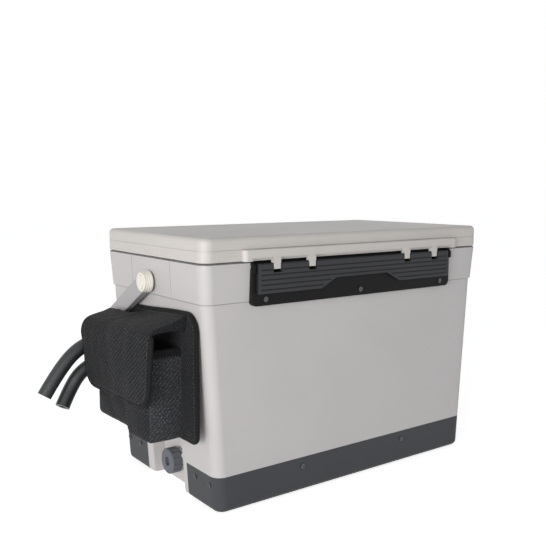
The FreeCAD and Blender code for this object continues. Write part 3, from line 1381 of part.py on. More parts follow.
def cable_gland():
    """Gland that seals the pump lead's way through the end wall."""
    y, z = gland_place()
    outside = -end_half(z)
    inside = -cavity_end(z)
    gland = along_x(GLAND_RADIUS / 2, outside - GLAND_PROUD, inside + GLAND_REACH, y, z)
    gland = gland.fuse(along_x(GLAND_RADIUS, inside + SEAT_GAP, inside + GLAND_HEAD, y, z))
    return gland.cut(along_x(CABLE_RADIUS, -BODY_LENGTH, inside + BODY_LENGTH, y, z))


# ---------------------------------------------------------------- pump in the reservoir
def pump_axis():
    return PUMP_Y, FLOOR_THICKNESS + PUMP_FOOT + PUMP_HEIGHT / 2


def pump_housing():
    """Housing with a volute at its inlet end and a blind can for the rotor behind it."""
    y, z = pump_axis()
    low = FLOOR_THICKNESS + PUMP_FOOT
    housing = block(PUMP_X, PUMP_X + PUMP_LENGTH, y - PUMP_WIDTH / 2, y + PUMP_WIDTH / 2,
                    low, low + PUMP_HEIGHT)
    housing = housing.makeFillet(PUMP_ROUND, [edge for edge in housing.Edges
                                              if abs(edge.BoundBox.XLength - PUMP_LENGTH) < 1e-4])
    chamber_end = PUMP_X + VOLUTE_LENGTH
    housing = housing.cut(along_x(IMPELLER_RADIUS + IMPELLER_GAP, PUMP_X - 1, chamber_end, y, z))
    can_end = chamber_end + MAGNET_LENGTH + CAN_END_GAP
    housing = housing.cut(along_x(MAGNET_RADIUS + MAGNET_GAP, chamber_end - 1, can_end, y, z))
    housing = housing.cut(along_x(PUMP_SHAFT, can_end - 1, can_end + PUMP_SHAFT_SEAT, y, z))
    outlet = Vector(PUMP_X + VOLUTE_LENGTH / 2, PORT_Y, z)
    return housing.cut(rod(RISER_BORE, outlet, outlet + Vector(0, 0, PUMP_HEIGHT)))


def pump_cover():
    """Inlet grille over the volute; its hub holds the shaft."""
    y, z = pump_axis()
    low = FLOOR_THICKNESS + PUMP_FOOT
    x0 = PUMP_X - PUMP_COVER
    cover = block(x0, PUMP_X, y - PUMP_WIDTH / 2, y + PUMP_WIDTH / 2, low, low + PUMP_HEIGHT)
    cover = cover.makeFillet(PUMP_ROUND, [edge for edge in cover.Edges
                                          if abs(edge.BoundBox.XLength - PUMP_COVER) < 1e-4])
    for row in range(-GRILLE_ROWS, GRILLE_ROWS + 1):
        if row:
            level = z + row * GRILLE_PITCH
            half = math.sqrt(IMPELLER_RADIUS ** 2 - (row * GRILLE_PITCH) ** 2)
            cover = cover.cut(block(x0 - 1, PUMP_X + 1, y - half, y + half, level - GRILLE_SLOT / 2,
                                    level + GRILLE_SLOT / 2))
    return cover.cut(along_x(PUMP_SHAFT, PUMP_X - SHAFT_SEAT_COVER, PUMP_X + 1, y, z))


def pump_shaft():
    y, z = pump_axis()
    end = PUMP_X + VOLUTE_LENGTH + MAGNET_LENGTH + CAN_END_GAP + PUMP_SHAFT_SEAT
    return along_x(PUMP_SHAFT, PUMP_X - SHAFT_SEAT_COVER, end, y, z)


def pump_impeller():
    """Disc with curved vanes on the inlet side, on the rotor's end."""
    y, z = pump_axis()
    back = PUMP_X + VOLUTE_LENGTH - IMPELLER_BACK_GAP
    front = back - IMPELLER_WIDTH
    parts = [along_x(IMPELLER_RADIUS, back - DISC_THICKNESS, back, y, z),
             along_x(IMPELLER_HUB, front, back, y, z)]
    for index in range(IMPELLER_VANES):
        vane = block(front, back, y + IMPELLER_HUB - 1, y + IMPELLER_RADIUS - VANE_TIP_GAP,
                     z - VANE_THICKNESS / 2, z + VANE_THICKNESS / 2)
        vane.rotate(Vector(0, y, z), Vector(1, 0, 0), 360 * index / IMPELLER_VANES)
        parts.append(vane)
    return fuse_all(parts).cut(along_x(PUMP_SHAFT + RUNNING_FIT, front - 1, back + 1, y, z))


def rotor_magnet():
    y, z = pump_axis()
    start = PUMP_X + VOLUTE_LENGTH - IMPELLER_BACK_GAP
    end = start + IMPELLER_BACK_GAP + MAGNET_LENGTH
    return ring_x(MAGNET_RADIUS, PUMP_SHAFT + RUNNING_FIT, start, end, y, z)


def suction_feet():
    """Four suction cups under the pump."""
    y = PUMP_Y
    inset = FOOT_RADIUS + FOOT_INSET
    feet = []
    for x in (PUMP_X + inset, PUMP_X + PUMP_LENGTH - inset):
        for side in (-1, 1):
            base = Vector(x, y + side * (PUMP_WIDTH / 2 - inset), FLOOR_THICKNESS)
            feet.append(Part.makeCone(FOOT_RADIUS, FOOT_RADIUS / 2, PUMP_FOOT, base))
    return Part.makeCompound(feet)


def inner_port_end(z):
    """Tip of a port's threaded end, inside the cavity."""
    return port_ends(PORT_Y, z)[0] - port_direction() * PORT_REACH


def outlet_riser():
    """Pipe from the pump's outlet up to the supply port."""
    tip = inner_port_end(SUPPLY_PORT_Z)
    x = PUMP_X + VOLUTE_LENGTH / 2
    foot = Vector(x, PORT_Y, FLOOR_THICKNESS + PUMP_FOOT + PUMP_HEIGHT)
    corner = tip - port_direction() * ((tip.x - x) / port_direction().x)
    return swept_tube([foot, corner, tip], RISER_RADIUS, RISER_BORE, "outlet riser")


def return_spout():
    """Short elbow that sends the returning water down into the reservoir."""
    tip = inner_port_end(RETURN_PORT_Z)
    corner = tip - port_direction() * SPOUT_REACH
    mouth = corner - Vector(0, 0, SPOUT_DROP)
    return swept_tube([tip, corner, mouth], RISER_RADIUS, RISER_BORE, "return spout")


# ---------------------------------------------------------------- export
NODE_MAKERS = (
    body_shell, inner_liner, rim_frame, body_foam, base_tray, tray_screws,
    latch_plate, latch_rod, latch_screws, latch_lever,
    hinge_plate, hinge_rod, hinge_screws,
    lid_shell, lid_inner_panel, lid_foam, lid_gasket,
    bail_pivots, pivot_caps, handle_bail, handle_grip,
    drain_gasket, drain_fitting, drain_seal, drain_plug, drain_tether,
    supply_port, return_port, port_nuts,
    supply_hose_foam, supply_hose_tube, return_hose_foam, return_hose_tube,
    pouch_back_panel, pouch_rivets, pouch_pocket, pouch_binding, pouch_flap, hook_patch, loop_patch,
    controller_case, controller_cover, cover_screws, circuit_board, button_switch, power_button,
    status_lens, dc_socket, dc_pin, cable_gland,
    pump_housing, pump_cover, pump_shaft, pump_impeller, rotor_magnet, suction_feet,
    outlet_riser, return_spout,
)


def main():
    os.makedirs("parts", exist_ok=True)
    for maker in NODE_MAKERS:
        shape = maker()
        if not shape.isValid():
            print("not valid:", maker.__name__)
        shape.exportStep("parts/%s.step" % maker.__name__)


main()
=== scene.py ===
import json
import math

import bmesh
import bpy
from mathutils import Matrix, Vector, noise
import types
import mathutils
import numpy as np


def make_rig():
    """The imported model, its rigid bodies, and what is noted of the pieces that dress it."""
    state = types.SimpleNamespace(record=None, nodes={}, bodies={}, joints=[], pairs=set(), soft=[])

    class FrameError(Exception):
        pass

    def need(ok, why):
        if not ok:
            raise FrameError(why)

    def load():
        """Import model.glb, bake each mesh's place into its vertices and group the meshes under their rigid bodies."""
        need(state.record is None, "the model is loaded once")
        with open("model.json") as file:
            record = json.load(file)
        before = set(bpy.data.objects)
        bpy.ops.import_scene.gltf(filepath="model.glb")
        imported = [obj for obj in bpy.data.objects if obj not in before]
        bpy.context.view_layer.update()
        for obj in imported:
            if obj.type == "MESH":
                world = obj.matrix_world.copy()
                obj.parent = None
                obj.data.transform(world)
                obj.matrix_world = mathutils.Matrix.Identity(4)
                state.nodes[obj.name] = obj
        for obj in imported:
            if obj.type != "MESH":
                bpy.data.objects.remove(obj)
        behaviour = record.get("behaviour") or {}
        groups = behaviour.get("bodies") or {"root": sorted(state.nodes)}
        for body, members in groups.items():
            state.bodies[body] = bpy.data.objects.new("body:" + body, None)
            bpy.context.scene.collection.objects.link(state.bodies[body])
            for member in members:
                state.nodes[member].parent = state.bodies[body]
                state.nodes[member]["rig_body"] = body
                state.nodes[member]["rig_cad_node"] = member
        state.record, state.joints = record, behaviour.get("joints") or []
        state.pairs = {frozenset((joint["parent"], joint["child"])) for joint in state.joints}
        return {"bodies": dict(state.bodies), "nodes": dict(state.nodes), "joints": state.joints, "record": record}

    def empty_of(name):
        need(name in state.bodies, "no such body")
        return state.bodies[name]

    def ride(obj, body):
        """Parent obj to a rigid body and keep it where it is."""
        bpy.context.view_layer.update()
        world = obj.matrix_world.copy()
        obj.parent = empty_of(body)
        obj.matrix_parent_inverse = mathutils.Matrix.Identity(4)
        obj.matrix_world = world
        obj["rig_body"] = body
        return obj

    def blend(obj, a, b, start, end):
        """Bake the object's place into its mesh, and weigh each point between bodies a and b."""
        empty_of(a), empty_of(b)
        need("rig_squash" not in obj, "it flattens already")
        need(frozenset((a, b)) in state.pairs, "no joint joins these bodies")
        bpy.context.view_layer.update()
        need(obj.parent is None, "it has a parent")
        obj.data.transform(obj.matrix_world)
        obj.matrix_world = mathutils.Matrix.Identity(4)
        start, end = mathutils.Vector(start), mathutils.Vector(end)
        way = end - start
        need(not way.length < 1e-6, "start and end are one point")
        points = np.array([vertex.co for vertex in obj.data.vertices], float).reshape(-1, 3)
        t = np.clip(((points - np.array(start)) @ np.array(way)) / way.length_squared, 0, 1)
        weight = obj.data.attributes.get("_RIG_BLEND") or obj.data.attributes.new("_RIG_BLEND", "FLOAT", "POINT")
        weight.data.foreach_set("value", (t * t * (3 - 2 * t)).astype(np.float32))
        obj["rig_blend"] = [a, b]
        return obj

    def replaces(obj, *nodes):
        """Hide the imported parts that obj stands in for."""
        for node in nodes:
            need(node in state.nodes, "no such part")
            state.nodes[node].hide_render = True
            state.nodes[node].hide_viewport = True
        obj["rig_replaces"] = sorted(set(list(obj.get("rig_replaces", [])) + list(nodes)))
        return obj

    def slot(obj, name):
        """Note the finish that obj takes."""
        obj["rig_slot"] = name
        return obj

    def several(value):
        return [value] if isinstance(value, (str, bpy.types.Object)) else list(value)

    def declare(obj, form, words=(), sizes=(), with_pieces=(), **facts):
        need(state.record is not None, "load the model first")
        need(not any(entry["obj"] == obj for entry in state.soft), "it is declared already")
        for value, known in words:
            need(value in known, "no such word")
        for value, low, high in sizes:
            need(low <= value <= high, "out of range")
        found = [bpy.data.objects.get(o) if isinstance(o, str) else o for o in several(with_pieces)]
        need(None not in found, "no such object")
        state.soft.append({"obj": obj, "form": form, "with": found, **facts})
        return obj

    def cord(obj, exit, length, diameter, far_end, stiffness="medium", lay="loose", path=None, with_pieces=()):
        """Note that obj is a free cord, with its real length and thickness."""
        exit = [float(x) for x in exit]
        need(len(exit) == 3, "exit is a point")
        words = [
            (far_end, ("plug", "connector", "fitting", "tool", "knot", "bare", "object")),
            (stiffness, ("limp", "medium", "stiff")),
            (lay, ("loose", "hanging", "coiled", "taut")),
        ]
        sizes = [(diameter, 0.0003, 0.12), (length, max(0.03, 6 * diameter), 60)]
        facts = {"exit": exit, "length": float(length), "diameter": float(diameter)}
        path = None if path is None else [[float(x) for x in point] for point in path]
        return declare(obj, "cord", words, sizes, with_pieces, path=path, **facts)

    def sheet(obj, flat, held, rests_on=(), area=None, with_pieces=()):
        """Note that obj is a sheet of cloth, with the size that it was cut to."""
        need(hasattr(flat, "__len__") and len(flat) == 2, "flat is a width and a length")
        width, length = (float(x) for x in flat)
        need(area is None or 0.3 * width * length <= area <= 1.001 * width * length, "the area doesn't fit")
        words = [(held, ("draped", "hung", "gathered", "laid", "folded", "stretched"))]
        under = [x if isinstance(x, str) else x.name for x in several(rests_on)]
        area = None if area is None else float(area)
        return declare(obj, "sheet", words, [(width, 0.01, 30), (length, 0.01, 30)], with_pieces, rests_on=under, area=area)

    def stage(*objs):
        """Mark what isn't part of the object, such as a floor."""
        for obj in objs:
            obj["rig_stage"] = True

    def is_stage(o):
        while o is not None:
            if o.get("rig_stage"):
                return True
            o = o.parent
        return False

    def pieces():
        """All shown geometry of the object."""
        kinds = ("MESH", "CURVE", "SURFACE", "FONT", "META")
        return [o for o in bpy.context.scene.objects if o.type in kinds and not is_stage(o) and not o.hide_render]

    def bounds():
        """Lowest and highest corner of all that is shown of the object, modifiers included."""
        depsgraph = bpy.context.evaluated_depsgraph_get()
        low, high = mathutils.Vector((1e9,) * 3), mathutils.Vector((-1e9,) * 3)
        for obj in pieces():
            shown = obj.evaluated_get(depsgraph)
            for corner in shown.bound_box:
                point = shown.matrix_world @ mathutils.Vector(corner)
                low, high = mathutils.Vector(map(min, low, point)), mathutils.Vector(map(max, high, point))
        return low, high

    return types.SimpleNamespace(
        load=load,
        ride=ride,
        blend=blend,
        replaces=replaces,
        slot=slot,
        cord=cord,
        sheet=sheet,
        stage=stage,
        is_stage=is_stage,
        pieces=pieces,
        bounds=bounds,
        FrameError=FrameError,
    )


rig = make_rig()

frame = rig.load()
cad_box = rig.bounds()
nodes = frame["nodes"]
MM = 0.001


# ---------------------------------------------------------------- edit-mode helpers
def clear_selection():
    if bpy.context.mode != "OBJECT":
        bpy.ops.object.mode_set(mode="OBJECT")
    bpy.ops.object.select_all(action="DESELECT")


def take(piece):
    """Makes one object the only selected one."""
    clear_selection()
    piece.select_set(True)
    bpy.context.view_layer.objects.active = piece


def named(name):
    """Gives the object that was just added its name."""
    piece = bpy.context.active_object
    piece.name = name
    piece.data.name = name
    return piece


def add_object(name, data):
    """New object with its data, in the scene."""
    piece = bpy.data.objects.new(name, data)
    bpy.context.scene.collection.objects.link(piece)
    return piece


def settle(piece):
    """Puts a piece's place, turn and scale into its mesh."""
    take(piece)
    bpy.ops.object.transform_apply(location=True, rotation=True, scale=True)
    return piece


def apply_modifier(piece, kind, **settings):
    """Adds a modifier and applies it at once."""
    take(piece)
    modifier = piece.modifiers.new(kind.title(), kind)
    for key, value in settings.items():
        setattr(modifier, key, value)
    bpy.ops.object.modifier_apply(modifier=modifier.name)
    return piece


def smooth(piece, degrees):
    """Smooth shading, broken where faces meet at more than the angle."""
    take(piece)
    bpy.ops.object.shade_smooth_by_angle(angle=math.radians(degrees))
    return piece


def paint(piece, material):
    piece.data.materials.clear()
    piece.data.materials.append(material)
    return piece


def finish_piece(piece, body, slot, material):
    """Material, record slot and body of a finished piece."""
    paint(piece, material)
    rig.slot(piece, slot)
    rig.ride(piece, body)
    return piece


# ---------------------------------------------------------------- shader helpers
class Shader:
    """A node tree with short calls for adding and linking nodes."""

    def __init__(self, tree):
        self.tree = tree
        self.count = 0

    def add(self, kind, **settings):
        node = self.tree.nodes.new(kind)
        node.location = (180 * self.count, -60 * (self.count % 5))
        self.count += 1
        for key, value in settings.items():
            setattr(node, key, value)
        return node

    def link(self, source, target):
        self.tree.links.new(source, target)

    def put(self, socket, value):
        """Links a socket to an input, or gives the input a value."""
        if isinstance(value, bpy.types.NodeSocket):
            self.link(value, socket)
        elif value is not None:
            socket.default_value = value

    def fill(self, node, **values):
        """Links or sets a node's inputs by name."""
        for key, value in values.items():
            self.put(node.inputs[key.replace("_", " ")], value)
        return node

    def math(self, operation, first, second=None):
        node = self.add("ShaderNodeMath", operation=operation)
        for socket, value in zip(node.inputs, (first, second)):
            self.put(socket, value)
        return node.outputs[0]

    def ramp(self, source, low, high):
        """Value from 0 at low to 1 at high."""
        node = self.add("ShaderNodeMapRange", interpolation_type="SMOOTHSTEP")
        return self.fill(node, Value=source, From_Min=low, From_Max=high).outputs["Result"]

    def mix(self, factor, first, second):
        """Blend of two colours."""
        node = self.add("ShaderNodeMix", data_type="RGBA")
        sockets = {socket.identifier: socket for socket in (*node.inputs, *node.outputs)}
        self.put(sockets["Factor_Float"], factor)
        self.put(sockets["A_Color"], first)
        self.put(sockets["B_Color"], second)
        return sockets["Result_Color"]

    def split(self, vector):
        """The vector's X, Y and Z, as named outputs."""
        return self.fill(self.add("ShaderNodeSeparateXYZ"), Vector=vector).outputs

    def stretch(self, vector, scale):
        return self.fill(self.add("ShaderNodeMapping"), Vector=vector, Scale=scale).outputs["Vector"]

    def noise(self, vector, scale, detail=2.0, roughness=0.5):
        node = self.add("ShaderNodeTexNoise")
        return self.fill(node, Vector=vector, Scale=scale, Detail=detail, Roughness=roughness).outputs["Fac"]

    def group(self, tree, **values):
        return self.fill(self.add("ShaderNodeGroup", node_tree=tree), **values)


def rgb(red, green, blue):
    """sRGB 0-255 to a linear colour."""
    def linear(value):
        value /= 255
        return value / 12.92 if value <= 0.04045 else ((value + 0.055) / 1.055) ** 2.4
    return (linear(red), linear(green), linear(blue), 1.0)


def shade(colour, factor):
    """The colour made lighter or darker."""
    return tuple(min(1.0, part * factor) for part in colour[:3]) + (1.0,)


FLOAT = "NodeSocketFloat"
PLACE_INPUT = ("Vector", "NodeSocketVector", None)


def new_group(name, inputs, outputs):
    """Group with its shader helper, the outputs of its input node, and its output node."""
    tree = bpy.data.node_groups.new(name, "ShaderNodeTree")
    for label, kind, value in inputs:
        socket = tree.interface.new_socket(name=label, in_out="INPUT", socket_type=kind)
        if value is not None:
            socket.default_value = value
    for label in outputs:
        tree.interface.new_socket(name=label, in_out="OUTPUT", socket_type=FLOAT)
    s = Shader(tree)
    return tree, s, s.add("NodeGroupInput").outputs, s.add("NodeGroupOutput")


def mould_grain_group():
    """Spark-eroded grain of moulded plastic, with a broad uneven tone."""
    detail, tone_scale, tone_low, tone_high = 3.0, 9.0, 0.3, 0.7
    inputs = [PLACE_INPUT, ("Scale", FLOAT, 1500.0)]
    tree, s, given, end = new_group("mould grain", inputs, ["Height", "Tone"])
    fine = s.noise(given["Vector"], given["Scale"], detail)
    broad = s.noise(given["Vector"], tone_scale, detail)
    s.fill(end, Height=fine, Tone=s.ramp(broad, tone_low, tone_high))
    return tree


def rub_group():
    """Marks from handling: faint scuffs in streaks."""
    streak_scale, streak_low, streak_high = (60.0, 60.0, 220.0), 0.58, 0.78
    patch_scale, patch_low, patch_high = 14.0, 0.5, 0.7
    tree, s, given, end = new_group("rub marks", [PLACE_INPUT, ("Amount", FLOAT, 0.5)], ["Mask"])
    streaks = s.noise(s.stretch(given["Vector"], streak_scale), 1.0, detail=4.0, roughness=0.65)
    patches = s.ramp(s.noise(given["Vector"], patch_scale), patch_low, patch_high)
    both = s.math("MULTIPLY", s.ramp(streaks, streak_low, streak_high), patches)
    s.fill(end, Mask=s.math("MULTIPLY", both, given["Amount"]))
    return tree


def weave_group():
    """Two-up two-down twill from a flat coordinate in metres: height, and a tone that differs by yarn."""
    repeat, warp_up_before, weft_height = 4.0, 1.5, 0.35
    tree, s, given, end = new_group("weave", [PLACE_INPUT, ("Pitch", FLOAT, 0.0011)], ["Height", "Tone"])
    flat = s.split(given["Vector"])
    waves = []
    cells = []
    for axis in ("X", "Y"):
        scaled = s.math("DIVIDE", flat[axis], given["Pitch"])
        waves.append(s.math("ABSOLUTE", s.math("SINE", s.math("MULTIPLY", scaled, math.pi))))
        cells.append(s.math("FLOOR", scaled))
    step = s.math("FLOORED_MODULO", s.math("SUBTRACT", cells[0], cells[1]), repeat)
    warp_up = s.math("LESS_THAN", step, warp_up_before)
    over = s.math("MULTIPLY", warp_up, waves[0])
    weft = s.math("MULTIPLY", waves[1], weft_height)
    under = s.math("MULTIPLY", s.math("SUBTRACT", 1.0, warp_up), weft)
    cell = s.fill(s.add("ShaderNodeCombineXYZ"), X=cells[0], Y=cells[1])
    yarn_tone = s.add("ShaderNodeTexWhiteNoise", noise_dimensions="2D")
    s.fill(yarn_tone, Vector=cell.outputs["Vector"])
    s.fill(end, Height=s.math("ADD", over, under), Tone=yarn_tone.outputs["Value"])
    return tree


GRAIN = mould_grain_group()
RUB = rub_group()
WEAVE = weave_group()


def new_material(name):
    """Material with a Principled surface, and its shader helper with that surface and the object's place."""
    material = bpy.data.materials.new(name)
    material.use_nodes = True
    material.node_tree.nodes.clear()
    s = Shader(material.node_tree)
    s.surface = s.add("ShaderNodeBsdfPrincipled")
    s.fill(s.add("ShaderNodeOutputMaterial"), Surface=s.surface.outputs["BSDF"])
    s.place = s.add("ShaderNodeTexCoord").outputs["Object"]
    return material, s


def bump(s, height, strength, distance):
    node = s.fill(s.add("ShaderNodeBump"), Height=height, Strength=strength, Distance=distance)
    s.fill(s.surface, Normal=node.outputs["Normal"])


# Spread of roughness with a plastic's tone, extra roughness and lightness of a rub mark.
TONE_ROUGHNESS, RUB_ROUGHNESS, RUB_LIGHT = 0.06, 0.15, 1.3
COAT_ROUGHNESS = 0.2
# Metres over which a band of painted shade fades out.
PAINTED_SHADE_EDGE = 0.0006
# Metres of relief at full strength.
PLASTIC_RELIEF, METAL_RELIEF, RUBBER_RELIEF, CLOTH_RELIEF = 0.0002, 0.0001, 0.0004, 0.0005


def plastic(name, colour, roughness, grain, depth, tone, rubbed=0.0, coat=0.0, gloss=0.4, settled=()):
    """Moulded plastic with grain, uneven tone and a few rub marks. settled lists bands of painted shade in recesses
    and gaps: axis, low and high place, and how light the plastic is painted there."""
    material, s = new_material(name)
    texture = s.group(GRAIN, Vector=s.place, Scale=grain).outputs
    base = s.mix(texture["Tone"], shade(colour, 1 - tone), shade(colour, 1 + tone))
    marks = s.group(RUB, Vector=s.place, Amount=rubbed).outputs["Mask"]
    worn = s.mix(marks, base, shade(colour, RUB_LIGHT))
    # Each band darkens the colour as painted shade, where shade falls in a gap or groove.
    for axis, low, high, share in settled:
        place = s.split(s.place)[axis]
        above_low = s.ramp(place, low - PAINTED_SHADE_EDGE, low)
        band = s.math("MULTIPLY", above_low, s.ramp(place, high + PAINTED_SHADE_EDGE, high))
        worn = s.mix(band, worn, shade(colour, share))
    uneven = s.math("MULTIPLY", texture["Tone"], TONE_ROUGHNESS)
    rough = s.math("ADD", roughness - TONE_ROUGHNESS / 2, uneven)
    rough = s.math("ADD", rough, s.math("MULTIPLY", marks, RUB_ROUGHNESS))
    s.fill(s.surface, Base_Color=worn, Roughness=rough, Specular_IOR_Level=gloss, Coat_Weight=coat,
           Coat_Roughness=COAT_ROUGHNESS)
    bump(s, texture["Height"], depth, PLASTIC_RELIEF)
    return material


def metal(name, colour, roughness):
    """Drawn or turned metal: fine lines round or along it."""
    line_scale, dark, light, strength = (40.0, 2500.0, 2500.0), 0.85, 1.1, 0.15
    smoothest, spread = roughness - 0.06, 0.14
    material, s = new_material(name)
    lines = s.noise(s.stretch(s.place, line_scale), 1.0)
    s.fill(s.surface, Base_Color=s.mix(lines, shade(colour, dark), shade(colour, light)), Metallic=1.0,
           Roughness=s.math("ADD", smoothest, s.math("MULTIPLY", lines, spread)))
    bump(s, lines, strength, METAL_RELIEF)
    return material


def rubber(name, colour, roughness, grain=900.0, depth=0.5, gloss=0.2):
    """Rubber, foam or thread: grain and a strong uneven tone, without rub marks."""
    dark, light = 0.85, 1.2
    material, s = new_material(name)
    texture = s.group(GRAIN, Vector=s.place, Scale=grain).outputs
    tone = s.mix(texture["Tone"], shade(colour, dark), shade(colour, light))
    s.fill(s.surface, Base_Color=tone, Roughness=roughness, Specular_IOR_Level=gloss)
    bump(s, texture["Height"], depth, RUBBER_RELIEF)
    return material


# Slubs, the thick places in the yarn: how many to a pitch, and where their noise starts and ends.
SLUB_RATE, SLUB_LOW, SLUB_HIGH = 0.62, 0.36, 0.64
# How light the dullest yarn is beside the brightest, and a worn patch beside the rest.
DULL_YARN, DULL_PATCH = 0.45, 0.75
PATCH_SCALE, PATCH_LOW, PATCH_HIGH = 22.0, 0.3, 0.7
CLOTH_ROUGHNESS, YARN_ROUGHNESS, SHEEN_ROUGHNESS = 0.62, 0.2, 0.4
CLOTH_GLOSS = 0.12


def cloth(name, colour, pitch=0.0015, strength=1.0, sheen=0.05, dark=0.45, light=4.4, tone=None):
    """Woven cloth on the piece's own flat coordinates, held in metres in its UV map. dark and light scale its colour
    between the yarns and on the yarn tops: partly the yarns' own tone, partly painted shade in the gaps and a painted
    highlight on the tops. tone gives two places along Y, each with how light the cloth is painted there, as painted
    light and painted shade."""
    material, s = new_material(name)
    flat = s.add("ShaderNodeUVMap").outputs["UV"]
    weave = s.group(WEAVE, Vector=flat, Pitch=pitch).outputs
    slubs = s.ramp(s.noise(flat, SLUB_RATE / pitch, detail=1.0), SLUB_LOW, SLUB_HIGH)
    brightness = s.math("ADD", DULL_YARN, s.math("MULTIPLY", weave["Tone"], 1 - DULL_YARN))
    yarn = s.math("MULTIPLY", brightness, slubs)
    patches = s.ramp(s.noise(s.place, PATCH_SCALE, detail=3.0), PATCH_LOW, PATCH_HIGH)
    worn = s.math("ADD", DULL_PATCH, s.math("MULTIPLY", patches, 1 - DULL_PATCH))
    # Yarn tops are painted lighter, a painted highlight, and the gaps between them darker, a painted shade.
    lit = s.math("MULTIPLY", s.math("MULTIPLY", weave["Height"], yarn), worn)
    woven = s.mix(lit, shade(colour, dark), shade(colour, light))
    # Painted light and shade by place along Y: the cloth is made lighter on the side that faces the lamps and darker
    # where it turns away.
    if tone:
        (low, low_gain), (high, high_gain) = tone
        painted_light_share = s.ramp(s.split(s.place)["Y"], low, high)
        painted_light_gain = s.mix(painted_light_share, (low_gain, low_gain, low_gain, 1.0), (high_gain, high_gain, high_gain, 1.0))
        tint = s.add("ShaderNodeVectorMath", operation="MULTIPLY")
        s.put(tint.inputs[0], woven)
        s.put(tint.inputs[1], painted_light_gain)
        woven = tint.outputs["Vector"]
    rough = s.math("ADD", CLOTH_ROUGHNESS, s.math("MULTIPLY", weave["Tone"], YARN_ROUGHNESS))
    s.fill(s.surface, Base_Color=woven, Roughness=rough, Specular_IOR_Level=CLOTH_GLOSS, Sheen_Weight=sheen,
           Sheen_Roughness=SHEEN_ROUGHNESS)
    bump(s, weave["Height"], strength, CLOTH_RELIEF)
    return material


# ---------------------------------------------------------------- finishes
# Numbers in order, for plastics: roughness, grain's scale and depth, spread of tone, rub marks, coat. For
# rubbers: roughness, grain's scale and depth, gloss.
# The shell's two bands are painted shade: in the gap under the lid along the rim's top, and in the step line lower
# down.
SHELL = plastic("shell grey", rgb(188, 185, 185), 0.42, 1700.0, 0.12, 0.02, 0.12,
                settled=(("Z", 0.3040, 0.3045, 0.22), ("Z", 0.2564, 0.2571, 0.6)))
LID = plastic("lid grey", rgb(194, 190, 186), 0.42, 1700.0, 0.12, 0.02, 0.12)
LINER = plastic("liner grey", rgb(205, 204, 201), 0.35, 1200.0, 0.06, 0.02, 0.1)
FOAM = rubber("rigid foam", rgb(222, 212, 178), 0.9, 600.0, 0.9)
TRAY = plastic("tray dark grey", rgb(68, 70, 73), 0.5, 1300.0, 0.4, 0.04, 0.25, gloss=0.12)
LATCH = plastic("latch black", rgb(24, 24, 25), 0.42, 1300.0, 0.4, 0.05, 0.2, gloss=0.1)
# The lever's band is painted shade in the grooves between its ribs, behind its front face.
LEVER = plastic("lever grey", rgb(60, 61, 63), 0.45, 1300.0, 0.4, 0.05, 0.3, gloss=0.12,
                settled=(("Y", -0.1383, -0.1, 0.5),))
BAIL = plastic("bail grey", rgb(166, 164, 165), 0.45, 1500.0, 0.2, 0.02, 0.2)
CAP = plastic("cap cream", rgb(226, 221, 212), 0.4, 1500.0, 0.12, 0.02, 0.1)
PLUG = plastic("plug blue-grey", rgb(98, 100, 106), 0.5, 1300.0, 0.4, 0.05, 0.2, gloss=0.2)
TETHER = plastic("tether white", rgb(226, 226, 222), 0.5, 1200.0, 0.1, 0.02)
DRAIN = plastic("drain fitting grey", rgb(176, 176, 174), 0.45, 1400.0, 0.15, 0.02)
BLACK = plastic("satin black", rgb(38, 38, 40), 0.45, 1400.0, 0.3, 0.06, 0.1, gloss=0.2)
BUTTON = plastic("button grey", rgb(150, 152, 155), 0.3, 1600.0, 0.08, 0.02, 0.0, 0.3)
WHITE_PART = plastic("impeller white", rgb(212, 212, 208), 0.4, 1400.0, 0.1, 0.02)
BOARD = plastic("board lacquer", rgb(26, 104, 62), 0.25, 400.0, 0.1, 0.08, 0.0, 0.4)
FERRITE = rubber("ferrite", rgb(62, 62, 64), 0.5, 2200.0, 0.3)
SEAL = rubber("seal rubber", rgb(22, 22, 22), 0.75)
HOSE_FOAM = rubber("hose foam", rgb(30, 34, 36), 0.38, 700.0, 0.4, 0.6)
HOSE_TUBE = rubber("hose tube", rgb(44, 45, 46), 0.35, 900.0, 0.1)
STEEL = metal("rod steel, blackened", rgb(52, 52, 54), 0.4)
ZINC = metal("screw zinc", rgb(96, 97, 99), 0.45)
BRASS = metal("contact brass", rgb(214, 180, 110), 0.25)
CLOTH = cloth("pouch cloth", rgb(32, 33, 35))
# The pocket's front side is painted much lighter than its face, a painted light on the side that faces the lamps.
POCKET_CLOTH = cloth("pocket cloth", rgb(32, 33, 35), dark=0.6, light=4.0,
                     tone=((-0.0775, 2.9), (-0.073, 0.85)))
# The flap is painted darker towards its rear, a painted shade where it turns from the light.
FLAP_CLOTH = cloth("flap cloth", rgb(32, 33, 35), light=5.2, tone=((-0.03, 1.0), (0.045, 0.6)))
THREAD = rubber("sewing thread", rgb(86, 88, 91), 0.7, 2500.0, 0.3)
TAPE = cloth("binding tape", rgb(28, 28, 29), pitch=0.0009, strength=0.7, sheen=0.03, dark=0.7, light=1.9)
HOOK_TAPE = cloth("hook tape", rgb(26, 26, 27), pitch=0.0016, sheen=0.3)


def lens_material():
    """Clear plastic with a faint green tint."""
    material, s = new_material("lens clear")
    tone = s.group(GRAIN, Vector=s.place, Scale=2500.0).outputs["Tone"]
    s.fill(s.surface, Base_Color=(0.75, 0.92, 0.82, 1.0), Transmission_Weight=0.9,
           Roughness=s.math("ADD", 0.08, s.math("MULTIPLY", tone, 0.05)))
    return material


